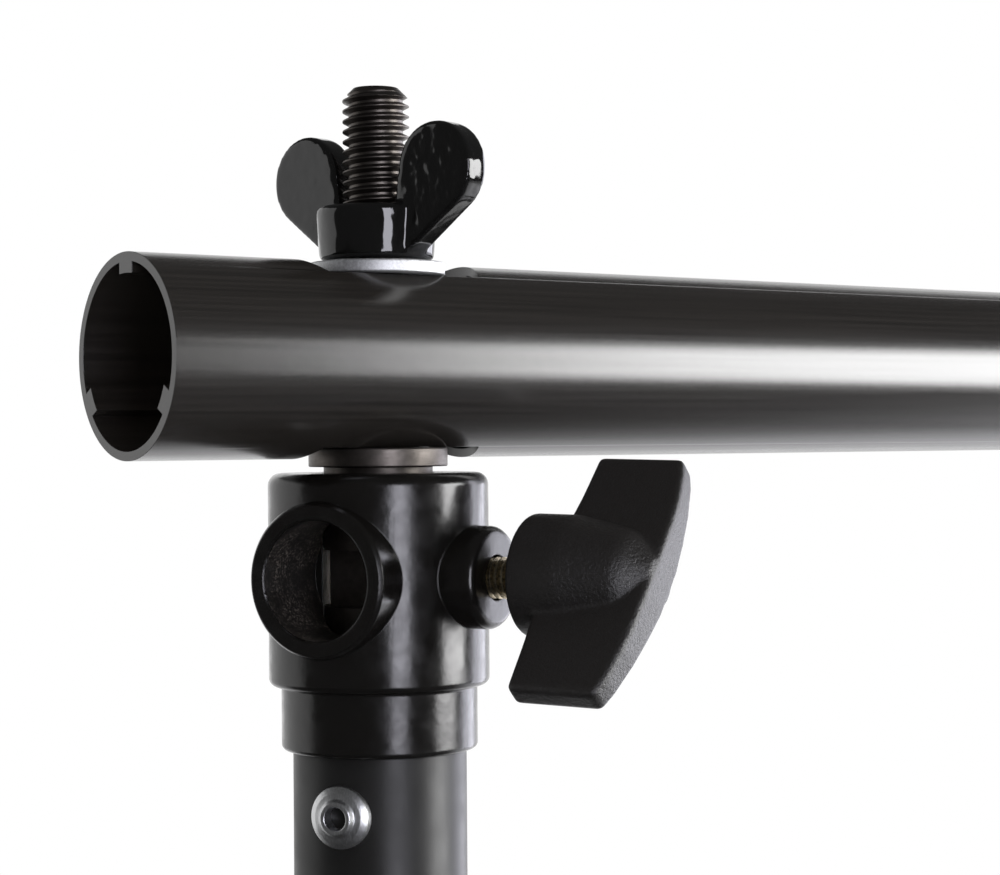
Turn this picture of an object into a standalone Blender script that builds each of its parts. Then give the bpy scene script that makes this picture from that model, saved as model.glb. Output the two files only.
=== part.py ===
"""A backdrop stand: two tripod stands whose head spigots carry a telescoping crossbar.

Metres, +Z up. The origin is on the floor midway between the stands, and the crossbar lies along X.
Stand A, at -X, is modelled piece by piece. Stand B is its copy, turned half a turn about Z.
"""
import math

import bmesh
import bpy
from mathutils import Matrix, Vector

MM = 0.001
DEG = math.pi / 180
QUARTER_TURN = 90 * DEG

# Clearances between pieces that touch or turn in each other
CLEARANCE = 0.3 * MM
SPIGOT_CLEARANCE = 0.25 * MM

# Main places
STAND_SPACING = 1300 * MM
HEAD_HEIGHT = 1223 * MM

# Crossbar: two ribbed outer sections that slide on one inner bar
BAR_DIAMETER = 28.6 * MM
BAR_WALL = 1.3 * MM
BAR_RIB_WIDTH = 4.1 * MM
BAR_RIB_HEIGHT = 1.6 * MM
BAR_RIB_CLOCK = (90 * DEG, 210 * DEG, 330 * DEG)
BAR_END_BEYOND_STUD = 41 * MM
BAR_SECTION_LENGTH = 600 * MM
BAR_REST_ABOVE_HEAD = 2.1 * MM
BAR_INNER_LENGTH = 1000 * MM
BAR_INNER_WALL = 1.2 * MM
POCKET_DIAMETER = 30 * MM
POCKET_TOP_DEPTH = 1.4 * MM
POCKET_BOTTOM_DEPTH = 1.6 * MM
STUD_HOLE_DIAMETER = 10.5 * MM
BAR_COLLAR_SKIRT = 30 * MM
BAR_COLLAR_NECK = 26 * MM

# Spigot: threaded stud, flange, round pin and a waist of hexagon section
STUD_DIAMETER = 9.8 * MM
STUD_TOP_ABOVE_HEAD = 56.3 * MM
STUD_CHAMFER = 1.8 * MM
FLANGE_DIAMETER = 20.4 * MM
FLANGE_THICKNESS = 2.5 * MM
PIN_DIAMETER = 16 * MM
PIN_DEPTH = 24 * MM
PIN_EDGE_RADIUS = 0.8 * MM
WAIST_TOP_DEPTH = 11.2 * MM
WAIST_LENGTH = 8.2 * MM
WAIST_ACROSS_FLATS = 13 * MM
WAIST_AZIMUTH = -146.6 * DEG
HEXAGON_SIDES = 6

# Washer and wing nut
WASHER_DIAMETER = 20 * MM
WASHER_THICKNESS = 1.8 * MM
NUT_TOP_DIAMETER = 17.8 * MM
NUT_BASE_DIAMETER = 16.7 * MM
NUT_HEIGHT = 7.6 * MM
WING_SPAN = 40 * MM
WING_HEIGHT = 18.6 * MM
WING_THICKNESS = 3.2 * MM
WING_LOBE_RADIUS = 6.3 * MM
WING_TIP_RADIUS = 5.7 * MM
WING_UNDER_RADIUS = 4.4 * MM
WING_ROOT = 6.1 * MM
WING_FOOT_RISE = 1.2 * MM
WING_SHOULDER_FALL = 0.5 * MM
NUT_TOP_EDGE_RADIUS = 0.8 * MM
NUT_BASE_EDGE_RADIUS = 0.5 * MM
WING_AZIMUTH = -78.7 * DEG

# Head casting: body on a sleeve, with a socket and a knob boss on its sides
HEAD_DIAMETER = 32 * MM
HEAD_BODY_DEPTH = 31 * MM
HEAD_EDGE_RADIUS = 1.8 * MM
HEAD_FOOT_RADIUS = 1 * MM
HEAD_SLEEVE_DIAMETER = 28.2 * MM
HEAD_SLEEVE_DEPTH = 40.3 * MM
HEAD_TUBE_SEAT_DEPTH = 27.5 * MM
SIDE_AXIS_DEPTH = 15 * MM
SOCKET_DIAMETER = 22.2 * MM
SOCKET_BORE = 17 * MM
SOCKET_REACH = 17.3 * MM
SOCKET_EDGE_RADIUS = 0.8 * MM
SOCKET_AZIMUTH = -155.3 * DEG
BOSS_DIAMETER = 14.8 * MM
BOSS_REACH = 19.8 * MM
BOSS_EDGE_RADIUS = 1 * MM
BOSS_AZIMUTH = -65.3 * DEG
SCREW_DIAMETER = 6 * MM
SCREW_DEPTH_IN_KNOB = 12 * MM
SCREW_END_RADIUS = 0.7 * MM

# T-knob: a domed hub with two blades
KNOB_STANDOFF = 6 * MM
KNOB_HUB_BASE = 17 * MM
KNOB_HUB_TOP = 13 * MM
KNOB_LENGTH = 19 * MM
KNOB_SPAN = 43 * MM
KNOB_BLADE = 4.2 * MM
KNOB_TIP_LOW = 3 * MM
KNOB_TIP_WIDTH = 13.4 * MM
KNOB_TIP_RADIUS = 3 * MM
KNOB_CROWN_FALL = 0.6 * MM
KNOB_CROWN_RADIUS = 1.5 * MM
KNOB_HUB_STRAIGHT = 6.65 * MM
KNOB_BLADE_INSET = 0.8 * MM
KNOB_BLADE_ROOT = 1 * MM
KNOB_HEAD_ROLL = -37 * DEG
KNOB_COLLAR_ROLL = 90 * DEG

# Column: three tubes and the clamp collars on the outer two
BASE_TUBE_DIAMETER = 35 * MM
MID_TUBE_DIAMETER = 30 * MM
TOP_TUBE_DIAMETER = 25 * MM
TUBE_WALL = 1.2 * MM
BASE_TUBE_TOP = 760 * MM
MID_TUBE_TOP = 1008 * MM
MID_TUBE_LENGTH = 680 * MM
TOP_TUBE_LENGTH = 680 * MM
COLLAR_WALL = 3.7 * MM
COLLAR_SKIRT = 26 * MM
COLLAR_NECK = 27 * MM
COLLAR_EDGE_RADIUS = 1.5 * MM
COLLAR_BOSS_DIAMETER = 14 * MM
COLLAR_BOSS_LENGTH = 5 * MM
COLLAR_BOSS_BELOW_RIM = 2 * MM
COLLAR_KNOB_AZIMUTH = -120 * DEG
RIVET_DEPTH = 48.7 * MM
RIVET_AZIMUTH = -150 * DEG
RIVET_FLANGE = 9 * MM
RIVET_LIP = 4.2 * MM
RIVET_SHANK = 4.8 * MM
RIVET_BORE = 3.3 * MM
RIVET_PROUD = 2 * MM
RIVET_LIP_RADIUS = 0.3 * MM
RIVET_LIP_WIDTH = 0.6 * MM
RIVET_LIP_HEIGHT = 0.5 * MM
RIVET_FLANGE_DEPTH = 1.5 * MM
RIVET_SHANK_BEYOND_WALL = 1 * MM

# Tripod: channel legs on a sliding collar, held open by channel braces from the foot hub
LEG_AZIMUTHS = (180 * DEG, 60 * DEG, -60 * DEG)
LEG_ANGLE = 60 * DEG
LEG_PIVOT_RADIUS = 31 * MM
LEG_LENGTH = 520 * MM
LEG_END_ABOVE_FLOOR = 14 * MM
LEG_WIDTH = 22 * MM
LEG_DEPTH = 14 * MM
LEG_WALL = 1.5 * MM
BRACE_WIDTH = 12 * MM
BRACE_DEPTH = 10 * MM
HUB_PIVOT_HEIGHT = 44 * MM
HUB_BELOW_PIVOT = 13 * MM
HUB_ABOVE_PIVOT = 20 * MM
HUB_FLOOR = 3 * MM
EAR_THICKNESS = 3 * MM
EAR_FLARE = 1 * MM
EAR_ROOT_DEPTH = 1.2 * MM
ROUND_END_SHARE = 0.98
PIVOT_PIN_DIAMETER = 5 * MM
PIN_PROUD = 1 * MM
SLIDER_BELOW_PIVOT = 12 * MM
SLIDER_ABOVE_PIVOT = 30 * MM
SLIDER_KNOB_RISE = 18 * MM
FOOT_WIDTH = 27 * MM
FOOT_WALL = 2.5 * MM
FOOT_GRIP = 34 * MM
FOOT_SOLE = 26 * MM
FOOT_TOE_RADIUS = 5 * MM
FOOT_EDGE_RADIUS = 1.5 * MM

# How finely the round shapes are divided
ROUND_SEGMENTS = 18
LARGE_SEGMENTS = 24
MEDIUM_SEGMENTS = 12
SMALL_SEGMENTS = 8
COLLAR_BOSS_SEGMENTS = 10
BAR_SEGMENTS = 27
RIB_GAP_STEPS = 8
ARC_STEPS = 1
ARC_STEPS_FINE = 2
MERGE = 0.05 * MM

# Sizes that follow from the others
WAIST_CORNER_RADIUS = WAIST_ACROSS_FLATS / 2 / math.cos(math.pi / HEXAGON_SIDES)
TUBE_SLEEVE_RADIUS = BASE_TUBE_DIAMETER / 2 + CLEARANCE + COLLAR_WALL
BAR_RADIUS = BAR_DIAMETER / 2
BAR_AXIS = BAR_REST_ABOVE_HEAD + BAR_RADIUS
POCKET_FLOOR = BAR_REST_ABOVE_HEAD + POCKET_BOTTOM_DEPTH
POCKET_CEILING = BAR_REST_ABOVE_HEAD + BAR_DIAMETER - POCKET_TOP_DEPTH
FLANGE_TOP = POCKET_FLOOR - CLEARANCE
WASHER_BASE = POCKET_CEILING + CLEARANCE
NUT_BASE = WASHER_BASE + WASHER_THICKNESS + CLEARANCE
BAR_INNER_RADIUS = BAR_RADIUS - BAR_WALL - BAR_RIB_HEIGHT - CLEARANCE
STUD_X = STAND_SPACING / 2
LEG_PIVOT_HEIGHT = LEG_LENGTH * math.cos(LEG_ANGLE) + LEG_END_ABOVE_FLOOR
BRACE_LENGTH = (LEG_PIVOT_HEIGHT - HUB_PIVOT_HEIGHT) / (2 * math.cos(LEG_ANGLE))
KNEE_RADIUS = LEG_PIVOT_RADIUS + BRACE_LENGTH * math.sin(LEG_ANGLE)
KNEE_HEIGHT = HUB_PIVOT_HEIGHT + BRACE_LENGTH * math.cos(LEG_ANGLE)
BASE_TUBE_FOOT = HUB_PIVOT_HEIGHT - HUB_BELOW_PIVOT + HUB_FLOOR + CLEARANCE
TOP_TUBE_TOP = HEAD_HEIGHT - HEAD_TUBE_SEAT_DEPTH - CLEARANCE

# Finishes: base colour, roughness, metallic
GLOSS_BLACK = (0.012, 0.25, 0.0)
SATIN_BLACK = (0.03, 0.4, 0.6)
BLACK_PLASTIC = (0.02, 0.6, 0.0)
BLACK_OXIDE = (0.05, 0.4, 0.9)
BRIGHT_ZINC = (0.6, 0.25, 1.0)
YELLOW_ZINC = (0.55, 0.3, 1.0)
ALUMINIUM = (0.7, 0.3, 1.0)
RUBBER = (0.015, 0.85, 0.0)


def clear_scene():
    for old in list(bpy.data.objects):
        bpy.data.objects.remove(old, do_unlink=True)


def new_collection(name):
    collection = bpy.data.collections.new(name)
    bpy.context.scene.collection.children.link(collection)
    return collection


def add_object(name, mesh, collection):
    piece = bpy.data.objects.new(name, mesh)
    collection.objects.link(piece)
    return piece


def finish(piece, look):
    """Give a piece its own Principled material."""
    grey, roughness, metallic = look
    material = bpy.data.materials.new(piece.name + "_finish")
    material.use_nodes = True
    shader = material.node_tree.nodes["Principled BSDF"]
    shader.inputs["Base Color"].default_value = (grey, grey, grey, 1)
    shader.inputs["Roughness"].default_value = roughness
    shader.inputs["Metallic"].default_value = metallic
    piece.data.materials.clear()
    piece.data.materials.append(material)


def rounded(corners, closed=True, steps=ARC_STEPS):
    """Points of a path through corners (x, y, radius), with an arc of that radius at each."""
    count = len(corners)
    points = []
    for index, (x, y, radius) in enumerate(corners):
        here = Vector((x, y))
        at_end = not closed and index in (0, count - 1)
        if radius == 0 or at_end:
            points.append(here)
            continue
        before = (Vector(corners[index - 1][:2]) - here).normalized()
        after = (Vector(corners[(index + 1) % count][:2]) - here).normalized()
        half = before.angle(after) / 2
        centre = here + (before + after).normalized() * radius / math.sin(half)
        start = here + before * radius / math.tan(half) - centre
        stop = here + after * radius / math.tan(half) - centre
        sweep = math.atan2(start.x * stop.y - start.y * stop.x, start.dot(stop))
        for step in range(steps + 1):
            turn = Matrix.Rotation(sweep * step / steps, 2)
            points.append(centre + turn @ start)
    kept = []
    for point in points:
        if not kept or (point - kept[-1]).length > MERGE:
            kept.append(point)
    if closed and (kept[0] - kept[-1]).length < MERGE:
        kept.pop()
    return kept


def turned(name, corners, segments, closed, collection, steps=ARC_STEPS):
    """A turned piece about Z, from a profile of (radius, z, corner radius) run top to bottom outside."""
    points = rounded(corners, closed, steps)
    edges = [(index, index + 1) for index in range(len(points) - 1)]
    if closed:
        edges.append((len(points) - 1, 0))
    mesh = bpy.data.meshes.new(name)
    mesh.from_pydata([(point.x, 0, point.y) for point in points], edges, [])
    piece = add_object(name, mesh, collection)
    screw = piece.modifiers.new("Turn", "SCREW")
    screw.axis = "Z"
    screw.steps = segments
    screw.render_steps = segments
    screw.use_merge_vertices = True
    screw.merge_threshold = MERGE
    screw.use_smooth_shade = True
    return piece


def plate(name, outlines, thickness, collection):
    """A flat piece in local XY, from closed outlines of points, as a mesh centred on local Z = 0."""
    curve = bpy.data.curves.new(name, "CURVE")
    curve.dimensions = "2D"
    curve.fill_mode = "BOTH"
    curve.extrude = thickness / 2
    for points in outlines:
        spline = curve.splines.new("POLY")
        spline.points.add(len(points) - 1)
        for target, point in zip(spline.points, points):
            target.co = (point.x, point.y, 0, 1)
        spline.use_cyclic_u = True
    drawn = add_object(name + "_outline", curve, collection)
    bpy.context.view_layer.update()
    evaluated = drawn.evaluated_get(bpy.context.evaluated_depsgraph_get())
    mesh = bpy.data.meshes.new_from_object(evaluated)
    mesh.name = name
    bpy.data.objects.remove(drawn, do_unlink=True)
    shape = bmesh.new()
    shape.from_mesh(mesh)
    bmesh.ops.remove_doubles(shape, verts=shape.verts, dist=MERGE / 10)
    bmesh.ops.recalc_face_normals(shape, faces=shape.faces)
    shape.to_mesh(mesh)
    shape.free()
    return add_object(name, mesh, collection)


def block(name, low, high, collection):
    """A box between two corners."""
    mesh = bpy.data.meshes.new(name)
    shape = bmesh.new()
    size = Vector(high) - Vector(low)
    middle = (Vector(high) + Vector(low)) / 2
    bmesh.ops.create_cube(shape, size=1, matrix=Matrix.Translation(middle) @ Matrix.Diagonal(size.to_4d()))
    shape.to_mesh(mesh)
    shape.free()
    return add_object(name, mesh, collection)


def rod(name, radius, low, high, segments, collection):
    """A plain cylinder along local Z, between two heights."""
    mesh = bpy.data.meshes.new(name)
    shape = bmesh.new()
    middle = Matrix.Translation((0, 0, (low + high) / 2))
    bmesh.ops.create_cone(shape, cap_ends=True, segments=segments, radius1=radius, radius2=radius,
                          depth=high - low, matrix=middle)
    shape.to_mesh(mesh)
    shape.free()
    return add_object(name, mesh, collection)


def combine(piece, tool, operation):
    """Join or cut a piece with a tool, which stays hidden in the cutters' collection."""
    tool.hide_render = True
    tool.display_type = "WIRE"
    boolean = piece.modifiers.new(tool.name, "BOOLEAN")
    boolean.operation = operation
    boolean.solver = "EXACT"
    boolean.object = tool


def join(piece, tool):
    combine(piece, tool, "UNION")


def cut(piece, tool):
    combine(piece, tool, "DIFFERENCE")


def sideways(azimuth, distance, height, roll=0):
    """A frame whose Z points out from the vertical axis at an azimuth, with X down and Y across."""
    place = Matrix.Translation((distance * math.cos(azimuth), distance * math.sin(azimuth), height))
    turn = Matrix.Rotation(azimuth, 4, "Z") @ Matrix.Rotation(QUARTER_TURN, 4, "Y")
    return place @ turn @ Matrix.Rotation(roll, 4, "Z")


def upright(azimuth, distance, height, tilt=0):
    """A frame whose X points out and Y up, tilted in that plane, with Z across it."""
    place = Matrix.Translation((distance * math.cos(azimuth), distance * math.sin(azimuth), height))
    turn = Matrix.Rotation(azimuth, 4, "Z") @ Matrix.Rotation(QUARTER_TURN, 4, "X")
    return place @ turn @ Matrix.Rotation(tilt, 4, "Z")


def boss_start(bore_radius, outer_radius, half_width):
    """Where a side boss starts, inside the wall of a sleeve over the boss's whole width."""
    return (bore_radius + math.sqrt(outer_radius ** 2 - half_width ** 2)) / 2


def add_boss(piece, frame, radius, start, reach, edge, hole_radius, hole_start, segments, tools):
    """Join a round boss to a piece along a frame's Z, and drill it."""
    profile = [(0, reach, 0), (radius, reach, edge), (radius, start, 0), (0, start, 0)]
    body = turned(piece.name + "_boss", profile, segments, False, tools)
    body.matrix_world = frame
    join(piece, body)
    drill = rod(piece.name + "_drill", hole_radius, hole_start, reach * 2, segments, tools)
    drill.matrix_world = frame
    cut(piece, drill)


def make_spigot(parts, tools):
    flange_radius = FLANGE_DIAMETER / 2
    pin_radius = PIN_DIAMETER / 2
    stud_radius = STUD_DIAMETER / 2
    profile = [
        (0, STUD_TOP_ABOVE_HEAD, 0),
        (stud_radius - STUD_CHAMFER, STUD_TOP_ABOVE_HEAD, 0),
        (stud_radius, STUD_TOP_ABOVE_HEAD - STUD_CHAMFER, 0),
        (stud_radius, FLANGE_TOP, 0),
        (flange_radius, FLANGE_TOP, 0),
        (flange_radius, FLANGE_TOP - FLANGE_THICKNESS, 0),
        (pin_radius, FLANGE_TOP - FLANGE_THICKNESS, 0),
        (pin_radius, -PIN_DEPTH, PIN_EDGE_RADIUS),
        (0, -PIN_DEPTH, 0),
    ]
    spigot = turned("spigot_stud", profile, ROUND_SEGMENTS, False, parts)
    waist = rod("spigot_waist", flange_radius, -WAIST_TOP_DEPTH - WAIST_LENGTH, -WAIST_TOP_DEPTH,
                ROUND_SEGMENTS, tools)
    hexagon = rod("spigot_hexagon", WAIST_CORNER_RADIUS, -PIN_DEPTH, 0, HEXAGON_SIDES, tools)
    hexagon.rotation_euler.z = WAIST_AZIMUTH
    cut(waist, hexagon)
    cut(spigot, waist)
    finish(spigot, BLACK_OXIDE)
    return spigot


def make_washer(parts):
    outer = WASHER_DIAMETER / 2
    bore = STUD_HOLE_DIAMETER / 2
    top = WASHER_BASE + WASHER_THICKNESS
    profile = [(bore, top, 0), (outer, top, 0), (outer, WASHER_BASE, 0), (bore, WASHER_BASE, 0)]
    washer = turned("washer", profile, ROUND_SEGMENTS, True, parts)
    finish(washer, BRIGHT_ZINC)
    return washer


def make_wing_nut(parts, tools):
    top = NUT_BASE + NUT_HEIGHT
    base_radius = NUT_BASE_DIAMETER / 2
    top_radius = NUT_TOP_DIAMETER / 2
    profile = [(0, top, 0), (top_radius, top, NUT_TOP_EDGE_RADIUS),
               (base_radius, NUT_BASE, NUT_BASE_EDGE_RADIUS), (0, NUT_BASE, 0)]
    nut = turned("wing_nut", profile, ROUND_SEGMENTS, False, parts)
    lobe_x = WING_SPAN / 2 - WING_LOBE_RADIUS
    lobe_y = NUT_BASE + WING_HEIGHT - WING_LOBE_RADIUS
    foot = NUT_BASE + WING_FOOT_RISE
    outline = []
    for side in (1, -1):
        corners = [
            (WING_ROOT, foot, 0),
            (base_radius + WING_FOOT_RISE, foot, WING_FOOT_RISE),
            (lobe_x + WING_LOBE_RADIUS, lobe_y - WING_LOBE_RADIUS / 2, WING_UNDER_RADIUS),
            (lobe_x + WING_LOBE_RADIUS, lobe_y + WING_LOBE_RADIUS, WING_TIP_RADIUS),
            (lobe_x - WING_LOBE_RADIUS, lobe_y + WING_LOBE_RADIUS, WING_TIP_RADIUS),
            (WING_ROOT, top - WING_SHOULDER_FALL, 0),
        ]
        points = rounded(corners, steps=ARC_STEPS_FINE)
        outline.append([Vector((point.x * side, point.y)) for point in points])
    for number, points in enumerate(outline):
        wing = plate(f"wing_{number}", [points], WING_THICKNESS, tools)
        wing.matrix_world = upright(WING_AZIMUTH, 0, 0)
        join(nut, wing)
    bore_radius = STUD_DIAMETER / 2 + CLEARANCE
    bore = rod("wing_nut_bore", bore_radius, NUT_BASE - top, top * 2, ROUND_SEGMENTS, tools)
    cut(nut, bore)
    finish(nut, GLOSS_BLACK)
    return nut


def make_head_casting(parts, tools):
    body = HEAD_DIAMETER / 2
    sleeve = HEAD_SLEEVE_DIAMETER / 2
    bore = PIN_DIAMETER / 2 + SPIGOT_CLEARANCE
    seat = TOP_TUBE_DIAMETER / 2 + CLEARANCE
    profile = [
        (bore, 0, 0),
        (body, 0, HEAD_EDGE_RADIUS),
        (body, -HEAD_BODY_DEPTH, HEAD_FOOT_RADIUS),
        (sleeve, -HEAD_BODY_DEPTH, 0),
        (sleeve, -HEAD_SLEEVE_DEPTH, HEAD_FOOT_RADIUS / 2),
        (seat, -HEAD_SLEEVE_DEPTH, 0),
        (seat, -HEAD_TUBE_SEAT_DEPTH, 0),
        (bore, -HEAD_TUBE_SEAT_DEPTH, 0),
    ]
    casting = turned("head_casting", profile, LARGE_SEGMENTS, True, parts)
    start = boss_start(bore, body, SOCKET_DIAMETER / 2)
    add_boss(casting, sideways(SOCKET_AZIMUTH, 0, -SIDE_AXIS_DEPTH), SOCKET_DIAMETER / 2, start,
             SOCKET_REACH, SOCKET_EDGE_RADIUS, SOCKET_BORE / 2, 0, ROUND_SEGMENTS, tools)
    add_boss(casting, sideways(BOSS_AZIMUTH, 0, -SIDE_AXIS_DEPTH), BOSS_DIAMETER / 2, start,
             BOSS_REACH, BOSS_EDGE_RADIUS, SCREW_DIAMETER / 2 + CLEARANCE, 0, MEDIUM_SEGMENTS, tools)
    finish(casting, GLOSS_BLACK)
    return casting


def make_knob(name, stub, parts, tools):
    """A T-knob along local Z: its screw stub goes down from Z = 0, or it has a blind hole if none."""
    base = KNOB_HUB_BASE / 2
    top = KNOB_HUB_TOP / 2
    crown = KNOB_LENGTH
    screw = SCREW_DIAMETER / 2
    profile = [(0, crown, 0), (top, crown - KNOB_CROWN_FALL, KNOB_CROWN_RADIUS),
               (base, KNOB_HUB_STRAIGHT, 0), (base, 0, 0)]
    if stub > 0:
        profile += [(screw, 0, 0), (screw, -stub, 0), (0, -stub, 0)]
    else:
        profile += [(0, 0, 0)]
    knob = turned(name, profile, MEDIUM_SEGMENTS, False, parts)
    half = KNOB_SPAN / 2
    tip_top = KNOB_TIP_LOW + KNOB_TIP_WIDTH
    corners = [
        (0, KNOB_BLADE_INSET, 0),
        (base + KNOB_BLADE_ROOT, KNOB_BLADE_INSET, 0),
        (half, KNOB_TIP_LOW, KNOB_TIP_RADIUS),
        (half, tip_top, KNOB_TIP_RADIUS),
        (0, crown - KNOB_BLADE_INSET, 0),
        (-half, tip_top, KNOB_TIP_RADIUS),
        (-half, KNOB_TIP_LOW, KNOB_TIP_RADIUS),
        (-base - KNOB_BLADE_ROOT, KNOB_BLADE_INSET, 0),
    ]
    blades = plate(name + "_blades", [rounded(corners)], KNOB_BLADE, tools)
    blades.matrix_world = Matrix.Rotation(QUARTER_TURN, 4, "X")
    join(knob, blades)
    if stub == 0:
        cut(knob, rod(name + "_hole", screw + CLEARANCE, -screw, SCREW_DEPTH_IN_KNOB + CLEARANCE,
                      SMALL_SEGMENTS, tools))
    finish(knob, BLACK_PLASTIC)
    return knob


def make_lock_screw(parts):
    """The head's lock screw, along local Z from its tip at the spigot's waist to its end in the knob."""
    radius = SCREW_DIAMETER / 2
    tip = WAIST_CORNER_RADIUS + CLEARANCE
    end = BOSS_REACH + KNOB_STANDOFF + SCREW_DEPTH_IN_KNOB
    profile = [(0, end, 0), (radius, end, SCREW_END_RADIUS), (radius, tip, SCREW_END_RADIUS), (0, tip, 0)]
    screw = turned("head_lock_screw", profile, SMALL_SEGMENTS, False, parts)
    finish(screw, YELLOW_ZINC)
    return screw


def make_tube(name, diameter, bottom, top, parts):
    outer = diameter / 2
    inner = outer - TUBE_WALL
    profile = [(inner, top, 0), (outer, top, 0), (outer, bottom, 0), (inner, bottom, 0)]
    tube = turned(name, profile, ROUND_SEGMENTS, True, parts)
    finish(tube, SATIN_BLACK)
    return tube


def make_rivet(parts, tools):
    """The hollow rivet in the top tube, along local Z from the tube's axis."""
    tube = TOP_TUBE_DIAMETER / 2
    flange = RIVET_FLANGE / 2
    dome = tube + RIVET_PROUD
    profile = [
        (0, dome, 0),
        (RIVET_LIP / 2, dome, RIVET_LIP_RADIUS),
        (RIVET_LIP / 2 + RIVET_LIP_WIDTH, dome - RIVET_LIP_HEIGHT, 0),
        (flange, tube + CLEARANCE, RIVET_LIP_RADIUS),
        (flange, tube - RIVET_FLANGE_DEPTH, 0),
        (0, tube - RIVET_FLANGE_DEPTH, 0),
    ]
    rivet = turned("top_tube_rivet", profile, MEDIUM_SEGMENTS, False, parts)
    saddle = rod("rivet_saddle", tube + CLEARANCE, -flange * 2, flange * 2, LARGE_SEGMENTS, tools)
    saddle.rotation_euler.y = QUARTER_TURN
    cut(rivet, saddle)
    join(rivet, rod("rivet_shank", RIVET_SHANK / 2, tube - TUBE_WALL - RIVET_SHANK_BEYOND_WALL,
                    dome - RIVET_LIP_WIDTH, SMALL_SEGMENTS, tools))
    cut(rivet, rod("rivet_bore", RIVET_BORE / 2, 0, dome * 2, SMALL_SEGMENTS, tools))
    finish(rivet, ALUMINIUM)
    return rivet


def make_collar(name, outer_tube, inner_tube, skirt, neck, azimuth, parts, tools):
    """A clamp collar: its skirt holds the outer tube at Z = 0, and its neck guides the inner tube."""
    skirt_bore = outer_tube / 2 + CLEARANCE
    neck_bore = inner_tube / 2 + CLEARANCE
    skirt_radius = skirt_bore + COLLAR_WALL
    neck_radius = neck_bore + COLLAR_WALL
    profile = [
        (neck_bore, neck, 0),
        (neck_radius, neck, COLLAR_EDGE_RADIUS),
        (neck_radius, COLLAR_WALL + skirt_radius - neck_radius, 0),
        (skirt_radius, COLLAR_WALL, 0),
        (skirt_radius, -skirt, 0),
        (skirt_bore, -skirt, 0),
        (skirt_bore, CLEARANCE, 0),
        (neck_bore, CLEARANCE, 0),
    ]
    collar = turned(name, profile, ROUND_SEGMENTS, True, parts)
    start = boss_start(neck_bore, neck_radius, COLLAR_BOSS_DIAMETER / 2)
    add_boss(collar, sideways(azimuth, 0, collar_knob_height(neck)), COLLAR_BOSS_DIAMETER / 2, start,
             neck_radius + COLLAR_BOSS_LENGTH, 0, SCREW_DIAMETER / 2 + CLEARANCE, 0,
             COLLAR_BOSS_SEGMENTS, tools)
    finish(collar, GLOSS_BLACK)
    return collar


def collar_knob_height(neck):
    """The height of a collar's knob above the end of its outer tube."""
    return neck - COLLAR_BOSS_DIAMETER / 2 - COLLAR_BOSS_BELOW_RIM


def collar_boss_reach(inner_tube):
    return inner_tube / 2 + CLEARANCE + COLLAR_WALL + COLLAR_BOSS_LENGTH


def collar_knob_stub(inner_tube):
    """How far a collar knob's screw reaches below the knob, to just clear the inner tube."""
    return collar_boss_reach(inner_tube) + KNOB_STANDOFF - inner_tube / 2 - CLEARANCE


def ear(name, low_radius, thickness, offset, tools):
    """A lug in an upright plane, from inside a sleeve wall to round a pivot at the leg pivot radius."""
    half = BRACE_DEPTH / 2
    corners = [
        (low_radius, -half - EAR_FLARE, 0),
        (LEG_PIVOT_RADIUS + half, -half, half * ROUND_END_SHARE),
        (LEG_PIVOT_RADIUS + half, half, half * ROUND_END_SHARE),
        (low_radius, half + EAR_FLARE, 0),
    ]
    lug = plate(name, [rounded(corners, steps=ARC_STEPS_FINE)], thickness, tools)
    lug.data.transform(Matrix.Translation((0, 0, offset)))
    return lug


def make_foot_hub(parts, tools):
    """The hub on the column's foot, with two riveted ears for each brace. Z = 0 is the pivots' height."""
    bore = BASE_TUBE_DIAMETER / 2 + CLEARANCE
    outer = TUBE_SLEEVE_RADIUS
    profile = [
        (bore, HUB_ABOVE_PIVOT, 0),
        (outer, HUB_ABOVE_PIVOT, COLLAR_EDGE_RADIUS),
        (outer, -HUB_BELOW_PIVOT, COLLAR_EDGE_RADIUS * 2),
        (0, -HUB_BELOW_PIVOT, 0),
        (0, -HUB_BELOW_PIVOT + HUB_FLOOR, 0),
        (bore, -HUB_BELOW_PIVOT + HUB_FLOOR, 0),
    ]
    hub = turned("foot_hub", profile, ROUND_SEGMENTS, True, parts)
    gap = BRACE_WIDTH / 2 + CLEARANCE
    start = math.sqrt(outer ** 2 - (gap + EAR_THICKNESS) ** 2) - EAR_ROOT_DEPTH
    for number, azimuth in enumerate(LEG_AZIMUTHS):
        for side in (1, -1):
            inner = side * (gap + EAR_THICKNESS / 2)
            lug = ear(f"hub_ear_{number}_{side}", start, EAR_THICKNESS, inner, tools)
            lug.matrix_world = upright(azimuth, 0, 0)
            join(hub, lug)
            outer_end = side * (gap + EAR_THICKNESS + PIN_PROUD)
            rivet = rod(f"hub_rivet_{number}_{side}", PIVOT_PIN_DIAMETER / 2, min(inner, outer_end),
                        max(inner, outer_end), SMALL_SEGMENTS, tools)
            rivet.matrix_world = upright(azimuth, LEG_PIVOT_RADIUS, 0)
            join(hub, rivet)
    finish(hub, GLOSS_BLACK)
    return hub


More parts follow.
